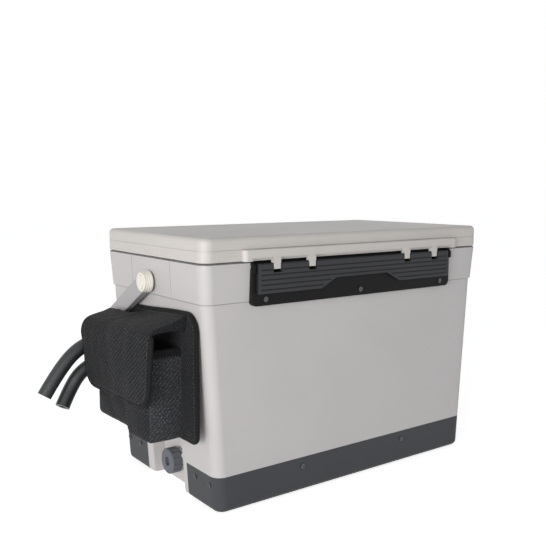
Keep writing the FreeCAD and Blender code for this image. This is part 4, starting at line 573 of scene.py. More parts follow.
SLOT_FINISH = {
    "shell_plastic": SHELL, "liner_plastic": LINER, "insulation": FOAM, "tray_plastic": TRAY,
    "latch_plastic": LATCH, "lever_plastic": LEVER, "rod_steel": STEEL, "screw_steel": ZINC,
    "bail_plastic": BAIL, "grip_plastic": BAIL, "cap_plastic": CAP, "seal_rubber": SEAL,
    "drain_plastic": DRAIN, "plug_plastic": PLUG, "tether_plastic": TETHER, "port_plastic": BLACK,
    "hose_foam": HOSE_FOAM, "hose_tube": HOSE_TUBE, "pouch_fabric": CLOTH, "pouch_tape": TAPE,
    "hook_tape": HOOK_TAPE, "rivet_metal": BLACK, "case_plastic": BLACK, "button_plastic": BUTTON,
    "board_green": BOARD, "lens_clear": lens_material(), "contact_brass": BRASS, "pump_plastic": BLACK,
    "impeller_plastic": WHITE_PART, "magnet_ferrite": FERRITE,
}


def dress_cad_nodes():
    """Every carried-over node takes the finish of its slot."""
    for part in frame["record"]["subparts"]:
        paint(nodes[part["node"]], SLOT_FINISH[part["material_slot"]])
    paint(nodes["lid_shell"], LID)


# ---------------------------------------------------------------- bail's stepped knobs
ARM_OUTER_X = 250.4
PIVOT_Z = 273.5
# Distance in from the arm's outer face, and radius there.
KNOB_STEPS = ((8.7, 12.7), (8.7, 14.1), (6.2, 14.1), (5.9, 13.6), (3.4, 13.6), (3.1, 13.2), (0.5, 13.2),
              (0.1, 12.8), (0.1, 12.0))
KNOB_SIDES = 72


def make_knob_rings():
    """Stepped cream rings round the arms' eyes, carried by the bail."""
    for name, side in (("left_knob_rings", -1), ("right_knob_rings", 1)):
        inset, radius = KNOB_STEPS[0]
        clear_selection()
        place = (side * (ARM_OUTER_X - inset) * MM, 0, PIVOT_Z * MM)
        bpy.ops.mesh.primitive_circle_add(vertices=KNOB_SIDES, radius=radius * MM,
                                          rotation=(0, math.pi / 2, 0), location=place)
        ring = settle(named(name))
        bpy.ops.object.mode_set(mode="EDIT")
        bpy.ops.mesh.select_all(action="SELECT")
        for after_inset, after_radius in KNOB_STEPS[1:]:
            move = (side * (inset - after_inset) * MM, 0, 0)
            bpy.ops.mesh.extrude_region_move(TRANSFORM_OT_translate={"value": move})
            grow = after_radius / radius
            centre = (side * (ARM_OUTER_X - after_inset) * MM, 0, PIVOT_Z * MM)
            bpy.ops.transform.resize(value=(1, grow, grow), center_override=centre)
            inset, radius = after_inset, after_radius
        bpy.ops.mesh.select_all(action="SELECT")
        bpy.ops.mesh.normals_make_consistent(inside=False)
        bpy.ops.object.mode_set(mode="OBJECT")
        smooth(ring, 30)
        finish_piece(ring, "bail", "cap_plastic", CAP)


# ---------------------------------------------------------------- hoses
HOSE_RADIUS = 9.5 * MM
HOSE_TUBE_RADIUS = 6.0 * MM
HOSE_BORE_RADIUS = 4.0 * MM
HOSE_GAP = 0.0001
HOSE_STEPS, HOSE_ROUNDNESS = 16, 10
HOSE_ROUTES = {
    "supply": ((-0.23391, 0.082, 0.19279), (-0.26683, 0.082, 0.190485), (-0.30151, 0.0826, 0.18299),
               (-0.33001, 0.0834, 0.15699), (-0.35351, 0.0812, 0.12299)),
    "return": ((-0.232089, 0.082, 0.16679), (-0.265008, 0.082, 0.164485), (-0.301989, 0.083, 0.14999),
               (-0.320489, 0.0822, 0.12349), (-0.331489, 0.0766, 0.10599)),
}


def route_curve(name, points):
    """Smooth open spline with the route's points as its control points."""
    curve = bpy.data.curves.new(name, "CURVE")
    curve.dimensions = "3D"
    spline = curve.splines.new("NURBS")
    spline.points.add(len(points) - 1)
    for target, point in zip(spline.points, points):
        target.co = (*point, 1.0)
    spline.order_u = 3
    spline.use_endpoint_u = True
    spline.resolution_u = HOSE_STEPS
    curve.resolution_u = HOSE_STEPS
    return add_object(name, curve)


def line_points(piece):
    """Points along a curve that has no bevel."""
    bpy.context.view_layer.update()
    mesh = bpy.data.meshes.new_from_object(piece.evaluated_get(bpy.context.evaluated_depsgraph_get()))
    points = [vertex.co.copy() for vertex in mesh.vertices]
    bpy.data.meshes.remove(mesh)
    return points


def hose_layer(name, points, radius, wall):
    """Tube with a real wall and cut ends, along the route."""
    line = route_curve(name, points)
    path = line_points(line)
    line.data.bevel_depth = radius
    line.data.bevel_resolution = HOSE_ROUNDNESS
    line.data.use_fill_caps = False
    take(line)
    bpy.ops.object.convert(target="MESH")
    piece = named(name)
    bpy.ops.object.mode_set(mode="EDIT")
    bpy.ops.mesh.select_all(action="SELECT")
    bpy.ops.mesh.remove_doubles(threshold=0.00001)
    bpy.ops.mesh.normals_make_consistent(inside=False)
    bpy.ops.object.mode_set(mode="OBJECT")
    apply_modifier(piece, "SOLIDIFY", thickness=wall, offset=-1.0, use_even_offset=True)
    smooth(piece, 40)
    return piece, path


def length_of(path):
    return sum((after - here).length for here, after in zip(path, path[1:]))


def make_hoses():
    """Each hose is a foam sleeve on a water tube."""
    for side, route in HOSE_ROUTES.items():
        foam_wall = HOSE_RADIUS - HOSE_TUBE_RADIUS - HOSE_GAP
        foam, _ = hose_layer(side + "_hose_sleeve", route, HOSE_RADIUS, foam_wall)
        finish_piece(foam, "root", "hose_foam", HOSE_FOAM)
        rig.replaces(foam, side + "_hose_foam")
        tube_wall = HOSE_TUBE_RADIUS - HOSE_BORE_RADIUS
        tube, path = hose_layer(side + "_hose_lining", route, HOSE_TUBE_RADIUS, tube_wall)
        finish_piece(tube, "root", "hose_tube", HOSE_TUBE)
        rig.replaces(tube, side + "_hose_tube")
        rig.cord(foam, exit=route[0], length=length_of(path), diameter=2 * HOSE_RADIUS, far_end="bare",
                stiffness="stiff", lay="hanging", path=path, with_pieces=[tube])


# ---------------------------------------------------------------- cloth
class Cloth:
    """A cloth surface, from flat places in millimetres to points in space, with heights above the cloth."""

    def __init__(self, point, side):
        self.point = point
        self.side = side

    def normal(self, p, q):
        step = 0.6
        across = self.point(p + step, q) - self.point(p - step, q)
        along = self.point(p, q + step) - self.point(p, q - step)
        return across.cross(along).normalized() * self.side

    def at(self, p, q, height=0.0):
        point = self.point(p, q)
        if height:
            point = point + self.normal(p, q) * height
        return point * MM


def ripple(p, q, wave, seed):
    """Smooth unevenness from -1 to 1."""
    return noise.noise(Vector((p / wave, q / wave, seed)))


def ease(value, low, high):
    """0 below low, 1 above high, smooth between them."""
    share = min(1.0, max(0.0, (value - low) / (high - low)))
    return share * share * (3 - 2 * share)


def spaced(low, high, step, ends=0.0):
    """Places from low to high, closer together near both ends where ends is given."""
    count = max(2, round((high - low) / step))
    shares = [index / count for index in range(count + 1)]
    if ends:
        shares = [share * (1 - ends) + ends * (1 - math.cos(math.pi * share)) / 2 for share in shares]
    return [low + (high - low) * share for share in shares]


def cloth_grid(name, columns, rows, flat, cloth, height=0.0):
    """Grid of cloth; flat(column, row) gives each point's flat place, kept in metres as its UV."""
    clear_selection()
    bpy.ops.mesh.primitive_grid_add(x_subdivisions=len(columns) - 1, y_subdivisions=len(rows) - 1, size=2)
    piece = named(name)
    mesh = piece.data
    places = []
    for vertex in mesh.vertices:
        column = columns[round((vertex.co.x + 1) / 2 * (len(columns) - 1))]
        row = rows[round((vertex.co.y + 1) / 2 * (len(rows) - 1))]
        places.append(flat(column, row))
        vertex.co = cloth.at(*places[-1], height)
    uv = mesh.uv_layers.active.data
    for loop in mesh.loops:
        p, q = places[loop.vertex_index]
        uv[loop.index].uv = (p * MM, q * MM)
    mesh.update()
    face = mesh.polygons[len(mesh.polygons) // 2]
    p = sum(places[index][0] for index in face.vertices) / 4
    q = sum(places[index][1] for index in face.vertices) / 4
    if face.normal.dot(cloth.normal(p, q)) < 0:
        mesh.flip_normals()
    return piece


def thicken(piece, thickness):
    """Gives a cloth its thickness, on its inner side, and smooth shading."""
    apply_modifier(piece, "SOLIDIFY", thickness=thickness * MM, offset=-1.0, use_even_offset=True)
    return smooth(piece, 50)


# Height of a tape's small puckers, and the run over which their wave turns by one radian.
PUCKER, PUCKER_PITCH = 0.12, 3.1


def tape_over_edge(name, cloth, line, width, under, over=0.7):
    """Binding folded over a cloth's edge. line holds (p, q, inward p, inward q) along the edge; under is
    how far down the cloth's other face lies."""
    above = ((width, 0.0), (width, over * 0.7), (width * 0.5, over), (0.6, over), (-0.9, over * 0.2))
    below = tuple((inset, -under - height) for inset, height in reversed(above))
    section = (*above, (-1.3, -under / 2), *below)
    clear_selection()
    bpy.ops.mesh.primitive_grid_add(x_subdivisions=len(line) - 1, y_subdivisions=len(section), size=2)
    piece = named(name)
    mesh = piece.data
    run = [0.0]
    for (p0, q0, _, _), (p1, q1, _, _) in zip(line, line[1:]):
        run.append(run[-1] + math.hypot(p1 - p0, q1 - q0))
    places = []
    for vertex in mesh.vertices:
        index = round((vertex.co.x + 1) / 2 * (len(line) - 1))
        step = round((vertex.co.y + 1) / 2 * len(section))
        p, q, inward_p, inward_q = line[index]
        inset, height = section[step % len(section)]
        lift = height + PUCKER * math.sin(run[index] / PUCKER_PITCH) if height > 0 else height
        vertex.co = cloth.at(p + inward_p * inset, q + inward_q * inset, lift)
        places.append((run[index] * MM, step * width / len(above) * MM))
    uv = mesh.uv_layers.active.data
    for loop in mesh.loops:
        uv[loop.index].uv = places[loop.vertex_index]
    take(piece)
    bpy.ops.object.mode_set(mode="EDIT")
    bpy.ops.mesh.select_all(action="SELECT")
    bpy.ops.mesh.remove_doubles(threshold=0.00002)
    bpy.ops.mesh.select_all(action="DESELECT")
    bpy.ops.mesh.select_non_manifold(extend=False)
    bpy.ops.mesh.fill_holes(sides=0)
    bpy.ops.mesh.select_all(action="SELECT")
    bpy.ops.mesh.normals_make_consistent(inside=False)
    bpy.ops.object.mode_set(mode="OBJECT")
    return smooth(piece, 60)


def along_line(points, pitch):
    """Evenly spaced (p, q, direction p, direction q) along a line of flat places."""
    places = []
    left = pitch / 2
    for (p0, q0), (p1, q1) in zip(points, points[1:]):
        length = math.hypot(p1 - p0, q1 - q0)
        if not length:
            continue
        along = ((p1 - p0) / length, (q1 - q0) / length)
        while left <= length:
            places.append((p0 + along[0] * left, q0 + along[1] * left, *along))
            left += pitch
        left -= length
    return places


# Half a stitch's length beside the pitch, and its height beside its half width.
STITCH_REACH, STITCH_ROUNDNESS = 0.33, 0.8


def stitches(name, cloth, lines, height=0.35, pitch=4.0, thread=0.42):
    """Rows of short stitches lying on a cloth, thread being half the width of each."""
    shape = bmesh.new()
    for line in lines:
        for p, q, along_p, along_q in along_line(line, pitch):
            centre = cloth.at(p, q, height)
            ahead = (cloth.at(p + along_p, q + along_q, height) - centre).normalized()
            up = cloth.normal(p, q)
            aside = up.cross(ahead).normalized()
            reach = pitch * STITCH_REACH * MM
            axes = (ahead * reach, aside * thread * MM, up * thread * STITCH_ROUNDNESS * MM)
            place = Matrix(axes).transposed().to_4x4()
            place.translation = centre
            bmesh.ops.create_icosphere(shape, subdivisions=1, radius=1.0, matrix=place)
    mesh = bpy.data.meshes.new(name)
    shape.to_mesh(mesh)
    shape.free()
    return smooth(add_object(name, mesh), 80)


# Area that a pair of round corners lacks, in squares of their radius.
CORNER_PAIR_LOSS = 0.43


def corner_rise(distance, radius):
    """How far a rounded corner has drawn the edge in, at a distance from the side."""
    if distance >= radius:
        return 0.0
    return radius - math.sqrt(max(0.0, radius ** 2 - (radius - distance) ** 2))


# ---------------------------------------------------------------- pouch: back panel
CLOTH_STEP = 3.0
# Height of a stitch that lies on a tape.
OVER_TAPE = 0.75
PANEL_X = -239.16
PANEL_FRONT, PANEL_REAR = -114.0, 68.0
PANEL_LOW, PANEL_HIGH = 88.0, 245.0
PANEL_SLUMP, SLUMP_START, SLUMP_END = 8.0, -100.0, 60.0
PANEL_SWELL = 1.4
PANEL_TOP_CORNER, PANEL_LOW_CORNER = 22.0, 11.0
PANEL_THICKNESS = 3.4
BINDING_WIDTH = 5.5
RIVETS, RIVET_Z = (-75.0, -28.0, 10.0), 228.0
POCKET_FRONT, POCKET_REAR = -78.0, 62.0
POCKET_TOP, POCKET_LOW = 200.0, 88.0


def slump(y):
    """How far the cloth has sunk along the panel's top, more towards the rear."""
    return PANEL_SLUMP * ease(y, SLUMP_START, SLUMP_END)


def panel_point(y, z):
    """The panel swells a little between its edge and the pocket, flat behind the pocket and the rivets."""
    edge = min(y - PANEL_FRONT, PANEL_HIGH - z, PANEL_REAR - y, z - PANEL_LOW)
    behind = min(y - POCKET_FRONT, POCKET_REAR - y, POCKET_TOP - z)
    swell = PANEL_SWELL + ripple(y, z, wave=26.0, seed=1.0) + 0.8 * ripple(y, z, wave=60.0, seed=2.0)
    swell *= ease(edge, 4.0, 15.0) * (1 - ease(behind, -6.0, 3.0))
    for rivet_y in RIVETS:
        swell *= ease(math.hypot(y - rivet_y, z - RIVET_Z), 5.0, 15.0)
    return Vector((PANEL_X - swell, y, z - slump(y) * (z - PANEL_LOW) / (PANEL_HIGH - PANEL_LOW)))


PANEL = Cloth(panel_point, -1)


def panel_edge(inset=0.0, step=2.5):
    """Closed outline of the panel with inward directions, from the middle of its lower edge."""
    line = []
    for corner_y, corner_z, radius, start in (
            (PANEL_FRONT, PANEL_LOW, PANEL_LOW_CORNER, 270), (PANEL_FRONT, PANEL_HIGH, PANEL_TOP_CORNER, 180),
            (PANEL_REAR, PANEL_HIGH, PANEL_TOP_CORNER, 90), (PANEL_REAR, PANEL_LOW, PANEL_LOW_CORNER, 0)):
        middle_y = corner_y + math.copysign(radius, -corner_y)
        middle_z = corner_z + (radius if corner_z == PANEL_LOW else -radius)
        for angle in spaced(start, start - 90, -12.0):
            turn = math.radians(angle)
            out = (math.cos(turn), math.sin(turn))
            reach = radius - inset
            line.append((middle_y + out[0] * reach, middle_z + out[1] * reach, -out[0], -out[1]))
    line.append(line[0])
    full = []
    for here, after in zip(line, line[1:]):
        count = max(1, round(math.hypot(after[0] - here[0], after[1] - here[1]) / step))
        for index in range(count):
            share = index / count
            full.append(tuple(a + (b - a) * share for a, b in zip(here, after)))
    full.append(line[0])
    return full


def make_panel():
    """Back panel with its binding and the stitches along it."""
    def flat(y, share):
        side = min(y - PANEL_FRONT, PANEL_REAR - y)
        low = PANEL_LOW + corner_rise(side, PANEL_LOW_CORNER)
        high = PANEL_HIGH - corner_rise(side, PANEL_TOP_CORNER)
        return y, low + (high - low) * share

    columns = spaced(PANEL_FRONT, PANEL_REAR, CLOTH_STEP, ends=1.0)
    panel = cloth_grid("pouch_panel_cloth", columns, spaced(0, 1, 0.02), flat, PANEL)
    thicken(panel, PANEL_THICKNESS)
    finish_piece(panel, "root", "pouch_fabric", CLOTH)
    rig.replaces(panel, "pouch_back_panel")
    tape = tape_over_edge("pouch_panel_tape", PANEL, panel_edge(), BINDING_WIDTH, PANEL_THICKNESS)
    finish_piece(tape, "root", "pouch_tape", TAPE)
    row = [(y, z) for y, z, _, _ in panel_edge(BINDING_WIDTH - 1.2)]
    thread = stitches("pouch_panel_stitches", PANEL, [row], height=OVER_TAPE)
    finish_piece(thread, "root", "pouch_tape", THREAD)
    width = (PANEL_REAR - PANEL_FRONT) * MM
    length = (PANEL_HIGH - PANEL_LOW) * MM
    area = width * length - CORNER_PAIR_LOSS * (PANEL_TOP_CORNER ** 2 + PANEL_LOW_CORNER ** 2) * MM * MM
    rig.sheet(panel, flat=(width, length), held="hung", rests_on=["pouch_rivets"], area=area,
             with_pieces=[tape, thread])


# ---------------------------------------------------------------- pouch: main pocket
POCKET_OUT_FRONT, POCKET_OUT_REAR = -282.6, -287.6
POCKET_CORNER = 5.0
POCKET_SIDE = PANEL_X - POCKET_OUT_FRONT
POCKET_FACE = POCKET_REAR - POCKET_FRONT
POCKET_RUN = 2 * POCKET_SIDE + POCKET_FACE
POCKET_FOOT_ROUND = 4.5
POCKET_WALL_RUN = POCKET_TOP - POCKET_LOW - POCKET_FOOT_ROUND
POCKET_SEAM_Y = -20.0
POCKET_SEAM_RISE = 9.0
POCKET_BELLY = 2.2
POCKET_THICKNESS = 2.2
POCKET_TAPE = 10.0
POCKET_STITCH_Z = 127.0


def pocket_plan(p, inset):
    """Place on the pocket's outline in plan, p along it from the panel, front side first."""
    def out(y):
        widening = (POCKET_OUT_REAR - POCKET_OUT_FRONT) * (y - POCKET_FRONT) / POCKET_FACE
        return POCKET_OUT_FRONT + widening + inset

    radius = max(0.5, POCKET_CORNER - inset)
    rear = p > POCKET_RUN / 2
    along = POCKET_RUN - p if rear else p
    side_y, inward = (POCKET_REAR - inset, -1) if rear else (POCKET_FRONT + inset, 1)
    turn_y = side_y + inward * radius
    if along <= POCKET_SIDE - POCKET_CORNER:
        share = along / (POCKET_SIDE - POCKET_CORNER)
        return PANEL_X + (out(turn_y) + radius - PANEL_X) * share, side_y
    if along < POCKET_SIDE + POCKET_CORNER:
        turn = (along - POCKET_SIDE + POCKET_CORNER) / (2 * POCKET_CORNER) * math.pi / 2
        return out(turn_y) + radius * (1 - math.sin(turn)), turn_y - inward * radius * math.cos(turn)
    share = (p - POCKET_SIDE - POCKET_CORNER) / (POCKET_FACE - 2 * POCKET_CORNER)
    low = POCKET_FRONT + inset + radius
    y = low + (POCKET_REAR - inset - radius - low) * share
    return out(y), y


def dent(place, middle, depth, width):
    """Soft groove that a seam draws into the cloth."""
    return -depth * math.exp(-((place - middle) / width) ** 2)


def pocket_point(p, q):
    """q runs down the wall, round the foot and in along the underside."""
    y = pocket_plan(p, 0.0)[1]
    lift = POCKET_SEAM_RISE * ease(y, POCKET_SEAM_Y - 3.0, POCKET_SEAM_Y + 4.0)
    if q <= POCKET_WALL_RUN:
        inset, low = 0.0, 0.0
    else:
        turn = min((q - POCKET_WALL_RUN) / POCKET_FOOT_ROUND, math.pi / 2)
        beyond = max(0.0, q - POCKET_WALL_RUN - POCKET_FOOT_ROUND * math.pi / 2)
        inset = POCKET_FOOT_ROUND * (1 - math.cos(turn)) + beyond
        low = POCKET_FOOT_ROUND * math.sin(turn)
    fade = max(0.0, 1 - inset / 14.0)
    foot = POCKET_LOW + POCKET_FOOT_ROUND + lift * fade
    down = min(q, POCKET_WALL_RUN) / POCKET_WALL_RUN
    z = POCKET_TOP + (foot - POCKET_TOP) * down - low
    x, y = pocket_plan(p, inset)
    face = ease(p, POCKET_SIDE, POCKET_SIDE + 12.0) * ease(POCKET_RUN - p, POCKET_SIDE, POCKET_SIDE + 12.0)
    belly = POCKET_BELLY * math.sin(math.pi * min(1.0, down)) * face
    seam = dent(y, POCKET_SEAM_Y, depth=1.1, width=2.4) * face
    band = dent(z, POCKET_STITCH_Z, depth=0.8, width=1.8)
    creases = 1.5 * ripple(p, q, wave=30.0, seed=5.0) + 0.5 * ripple(p, q, wave=11.0, seed=6.0)
    swell = (belly + (creases + seam) * ease(q, 4.0, 26.0) + band) * (1 - ease(inset, 2.0, 12.0))
    away = 1.0 if p > POCKET_SIDE + POCKET_FACE / 2 else -1.0
    side = 1 - face
    return Vector((x - swell * face, y + away * side * swell * ease(min(p, POCKET_RUN - p), 0.0, 8.0), z))


POCKET = Cloth(pocket_point, 1)


def pocket_columns():
    """Places along the front side, the face and the rear side, closer together near the corners."""
    corners = (0, POCKET_SIDE, POCKET_SIDE + POCKET_FACE, POCKET_RUN)
    columns = [0.0]
    for start, end in zip(corners, corners[1:]):
        columns += spaced(start, end, CLOTH_STEP, ends=0.5)[1:]
    return columns


def make_pocket():
    """Main pocket with the tape along its mouth, its seams and their stitches."""
    foot_run = POCKET_FOOT_ROUND * math.pi / 2
    rows = spaced(0, POCKET_WALL_RUN, CLOTH_STEP)
    rows += [POCKET_WALL_RUN + foot_run * share for share in (0.2, 0.4, 0.6, 0.8, 1.0)]
    rows += spaced(rows[-1] + 4, POCKET_WALL_RUN + foot_run + POCKET_SIDE - POCKET_FOOT_ROUND - 1, 5.0)
    pocket = cloth_grid("pouch_pocket_cloth", pocket_columns(), rows, lambda p, q: (p, q), POCKET)
    thicken(pocket, POCKET_THICKNESS)
    finish_piece(pocket, "root", "pouch_fabric", POCKET_CLOTH)
    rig.replaces(pocket, "pouch_pocket")
    line = [(p, 0.0, 0.0, 1.0) for p in spaced(0, POCKET_RUN, 2.5)]
    tape = tape_over_edge("pouch_pocket_tape", POCKET, line, POCKET_TAPE, POCKET_THICKNESS)
    finish_piece(tape, "root", "pouch_tape", TAPE)
    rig.replaces(tape, "pouch_binding")
    seam_p = POCKET_SIDE + POCKET_SEAM_Y - POCKET_FRONT
    stitch_q = POCKET_TOP - POCKET_STITCH_Z
    seams = [[(4.0, q), (POCKET_SIDE + POCKET_FACE, q)] for q in (stitch_q - 2.0, stitch_q + 2.0)]
    seams += [[(p, 12.0), (p, POCKET_WALL_RUN)] for p in (seam_p - 2.6, seam_p + 2.6)]
    thread = stitches("pouch_pocket_stitches", POCKET, seams)
    top_row = [(2.0, POCKET_TAPE - 1.2), (POCKET_RUN - 2.0, POCKET_TAPE - 1.2)]
    top = stitches("pouch_pocket_tape_stitches", POCKET, [top_row], height=OVER_TAPE)
    for piece in (thread, top):
        finish_piece(piece, "root", "pouch_tape", THREAD)


PATCH_HALF, PATCH_THICKNESS = 35, 1.0


def make_loop_patch():
    """Loop tape on the pocket's outer side."""
    middle = POCKET_SIDE + POCKET_FACE / 2
    columns = spaced(middle - PATCH_HALF, middle + PATCH_HALF, CLOTH_STEP)
    patch = cloth_grid("pouch_loop_tape", columns, spaced(40.0, 58.0, CLOTH_STEP),
                       lambda p, q: (p, q), POCKET, PATCH_THICKNESS)
    thicken(patch, PATCH_THICKNESS)
    finish_piece(patch, "root", "hook_tape", HOOK_TAPE)
    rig.replaces(patch, "loop_patch")


# ---------------------------------------------------------------- pouch: flap
FLAP_HINGE_X, FLAP_TOP_Z = -239.46, 242.0
FLAP_FRONT, FLAP_REAR = -93.0, 70.0
FLAP_WIDTH = FLAP_REAR - FLAP_FRONT
FLAP_LENGTH = 107.0
# Front and rear end: sewn edge out to the shoulder, shoulder below it, hem out past the shoulder.
FLAP_DEPTHS, FLAP_FALLS, FLAP_FLARES = (48.0, 67.0), (11.0, 21.0), (7.0, -7.0)
FLAP_BENDS = (14.0, 21.0)
FLAP_CORNER = 22.0
FLAP_THICKNESS = 2.8
FLAP_CUT_BACK = 25.0
FLAP_SEWN_END = 10.0
FLAP_BEND_REACH = 22.0
FLAP_TAPE = 3.6
# How far the top sags and drops over the front side, the face swells, and its front edge curls in.
FLAP_SAG, FLAP_FOLD, FLAP_BELLY, FLAP_CURL = 2.0, 3.0, 2.0, 2.5
EAR_DROP, EAR_THICKNESS = 20.0, 2.0
EAR_ARCH, EAR_BULGE = 3.0, 1.6


def flap_sizes(p):
    """Sharp section of the flap at p: run to the shoulder, run to the hem, turn and bend between them."""
    share = min(1.0, max(0.0, p / FLAP_WIDTH))
    pairs = (FLAP_DEPTHS, FLAP_FALLS, FLAP_FLARES, FLAP_BENDS)
    depth, fall, flare, bend = (pair[0] + (pair[1] - pair[0]) * share for pair in pairs)
    top, face = Vector((depth, -fall)), Vector((flare, fall - FLAP_LENGTH))
    return top, face, top.angle(face), bend


def flap_shoulder(p):
    """Where the round between top and face starts and ends, along the cloth."""
    top, _, turn, bend = flap_sizes(p)
    start = top.length - bend * math.tan(turn / 2)
    return start, start + bend * turn


def flap_run(p):
    """Length of the flap from its sewn edge to its hem."""
    _, face, turn, bend = flap_sizes(p)
    return flap_shoulder(p)[1] + face.length - bend * math.tan(turn / 2)


def flap_section(p, q):
    """Place out from the sewn edge and above it, q along the cloth."""
    top, face, turn, bend = flap_sizes(p)
    start, end = flap_shoulder(p)
    along = top.normalized()
    if q <= start:
        return along * q
    if q <= end:
        angle = (q - start) / bend
        inward = Vector((along.y, -along.x))
        return along * (start + bend * math.sin(angle)) + inward * bend * (1 - math.cos(angle))
    return top + face.normalized() * (q - end + bend * math.tan(turn / 2))


def flap_point(p, q):
    """The flap sags towards its shoulder, and its face is pushed out a little from within."""
    out, rise = flap_section(p, q)
    start, end = flap_shoulder(p)
    across = min(1.0, max(0.0, p / FLAP_WIDTH))
    face = ease(q, start, end)
    sag = FLAP_SAG * math.sin(math.pi * min(1.0, max(0.0, q) / start))
    sag *= 0.6 + 0.8 * ripple(p, q, wave=50.0, seed=9.0)
    fold = FLAP_FOLD * math.exp(-max(0.0, p) / 10.0) * ease(q, 6.0, start)
    down = min(1.0, max(0.0, q - start) / (flap_run(p) - start))
    belly = FLAP_BELLY * math.sin(math.pi * down) * math.sin(math.pi * across)
    creases = 1.1 * ripple(p, q * 0.35, wave=17.0, seed=10.0) + 0.5 * ripple(p, q, wave=13.0, seed=11.0)
    creases *= ease(q, 8.0, 30.0) * ease(p, -2.0, 12.0)
    curl = FLAP_CURL * math.exp(-max(0.0, p) / 8.0)
    x = FLAP_HINGE_X - out - (belly + creases - curl) * face
    sunk = slump(FLAP_FRONT + p) * (1 - ease(q, 0.0, 28.0))
    return Vector((x, FLAP_FRONT + p, FLAP_TOP_Z + rise - (sag + fold - creases) * (1 - face) - sunk))


FLAP = Cloth(flap_point, 1)


def ear_point(p, q):
    """The flap's folded-down side: p along its upper edge from the sewn edge, q down from it."""
    top = flap_point(0.0, p)
    out = FLAP_HINGE_X - top.x
    low = FLAP_TOP_Z - EAR_DROP + EAR_ARCH * math.sin(math.pi * min(1.0, out / FLAP_DEPTHS[0]))
    share = q / EAR_DROP
    z = top.z + (min(low, top.z - 1.0) - top.z) * share
    bulge = EAR_BULGE * math.sin(math.pi * min(1.0, share)) + 0.8 * ripple(p, q, wave=15.0, seed=14.0) * share
    return Vector((top.x, FLAP_FRONT - bulge + 0.6 * share, z))


EAR = Cloth(ear_point, 1)


def flap_start(p):
    """Where the cloth starts: behind the sewn edge's end it is cut back for the bail's arm."""
    return FLAP_CUT_BACK * ease(FLAP_FRONT + p, FLAP_SEWN_END, FLAP_SEWN_END + 3.0)


def flap_end(p):
    """Where the cloth ends: at the hem, drawn in round the corners."""
    side = min(p, FLAP_WIDTH - p)
    return flap_run(p) - corner_rise(side, FLAP_CORNER)


def flap_hem(inset, step=3.0):
    """Flap's free edge with inward directions: front side, round corner, hem, round corner, rear side."""
    side = spaced(flap_shoulder(0.0)[1], flap_run(0) - FLAP_CORNER - 1.0, step)
    line = [(inset, q, 1.0, 0.0) for q in side]
    for start, corner in ((180, 0.0), (90, FLAP_WIDTH)):
        middle_p = corner + (FLAP_CORNER if corner == 0.0 else -FLAP_CORNER)
        middle_q = flap_run(middle_p) - FLAP_CORNER
        for angle in range(start, start - 91, -9):
            turn = math.radians(angle)
            out = (math.cos(turn), math.sin(turn))
            reach = FLAP_CORNER - inset
            line.append((middle_p + out[0] * reach, middle_q + out[1] * reach, -out[0], -out[1]))
        if corner == 0.0:
            line += [(p, flap_run(p) - inset, 0.0, -1.0)
                     for p in spaced(FLAP_CORNER + step, FLAP_WIDTH - FLAP_CORNER - step, step)]
    side = spaced(FLAP_CUT_BACK + 2.0, flap_run(FLAP_WIDTH) - FLAP_CORNER - step, step)
    return line + [(FLAP_WIDTH - inset, q, -1.0, 0.0) for q in reversed(side)]


def bend_with_flap(piece, slot, material):
    """Flap pieces turn with the flap's body away from the sewn edge."""
    paint(piece, material)
    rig.slot(piece, slot)
    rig.blend(piece, "root", "flap", (FLAP_HINGE_X * MM, 0.0, FLAP_TOP_Z * MM),
             ((FLAP_HINGE_X - FLAP_BEND_REACH) * MM, 0.0, FLAP_TOP_Z * MM))


def make_flap():
    """Flap with its folded-down side, the tape round its hem and its stitches."""
    sewn = FLAP_SEWN_END - FLAP_FRONT
    columns = spaced(0, sewn, CLOTH_STEP, ends=1.0)
    columns += spaced(sewn + 0.5, FLAP_WIDTH, CLOTH_STEP, ends=1.0)

    def flat(p, share):
        start = flap_start(p)
        return p, start + (flap_end(p) - start) * share

    flap = cloth_grid("pouch_flap_cloth", columns, spaced(0, 1, 0.018), flat, FLAP)
    thicken(flap, FLAP_THICKNESS)
    bend_with_flap(flap, "pouch_fabric", FLAP_CLOTH)
    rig.replaces(flap, "pouch_flap")
    ear = cloth_grid("pouch_flap_side", spaced(0, flap_shoulder(0.0)[1], 2.5), spaced(0, EAR_DROP, 2.4),
                     lambda p, q: (p, q), EAR)
    thicken(ear, EAR_THICKNESS)
    bend_with_flap(ear, "pouch_fabric", FLAP_CLOTH)
    tape = tape_over_edge("pouch_flap_tape", FLAP, flap_hem(0.0), FLAP_TAPE, FLAP_THICKNESS, over=0.4)
    bend_with_flap(tape, "pouch_tape", TAPE)
    line = [(p, q) for p, q, _, _ in flap_hem(FLAP_TAPE + 1.6)]
    thread = stitches("pouch_flap_stitches", FLAP, [line], height=0.55)
    bend_with_flap(thread, "pouch_tape", THREAD)
    hem = stitches("pouch_flap_sewn_edge", FLAP, [[(2.0, 3.5), (sewn, 3.5)]])
    bend_with_flap(hem, "pouch_tape", THREAD)
    area = FLAP_WIDTH * flap_run(FLAP_WIDTH / 2) - (FLAP_REAR - FLAP_SEWN_END) * FLAP_CUT_BACK
    area -= CORNER_PAIR_LOSS * FLAP_CORNER ** 2
    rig.sheet(flap, flat=(FLAP_WIDTH * MM, flap_run(FLAP_WIDTH) * MM), held="hung",
             rests_on=["pouch_panel_cloth"], area=area * MM * MM, with_pieces=[ear, tape, thread, hem])


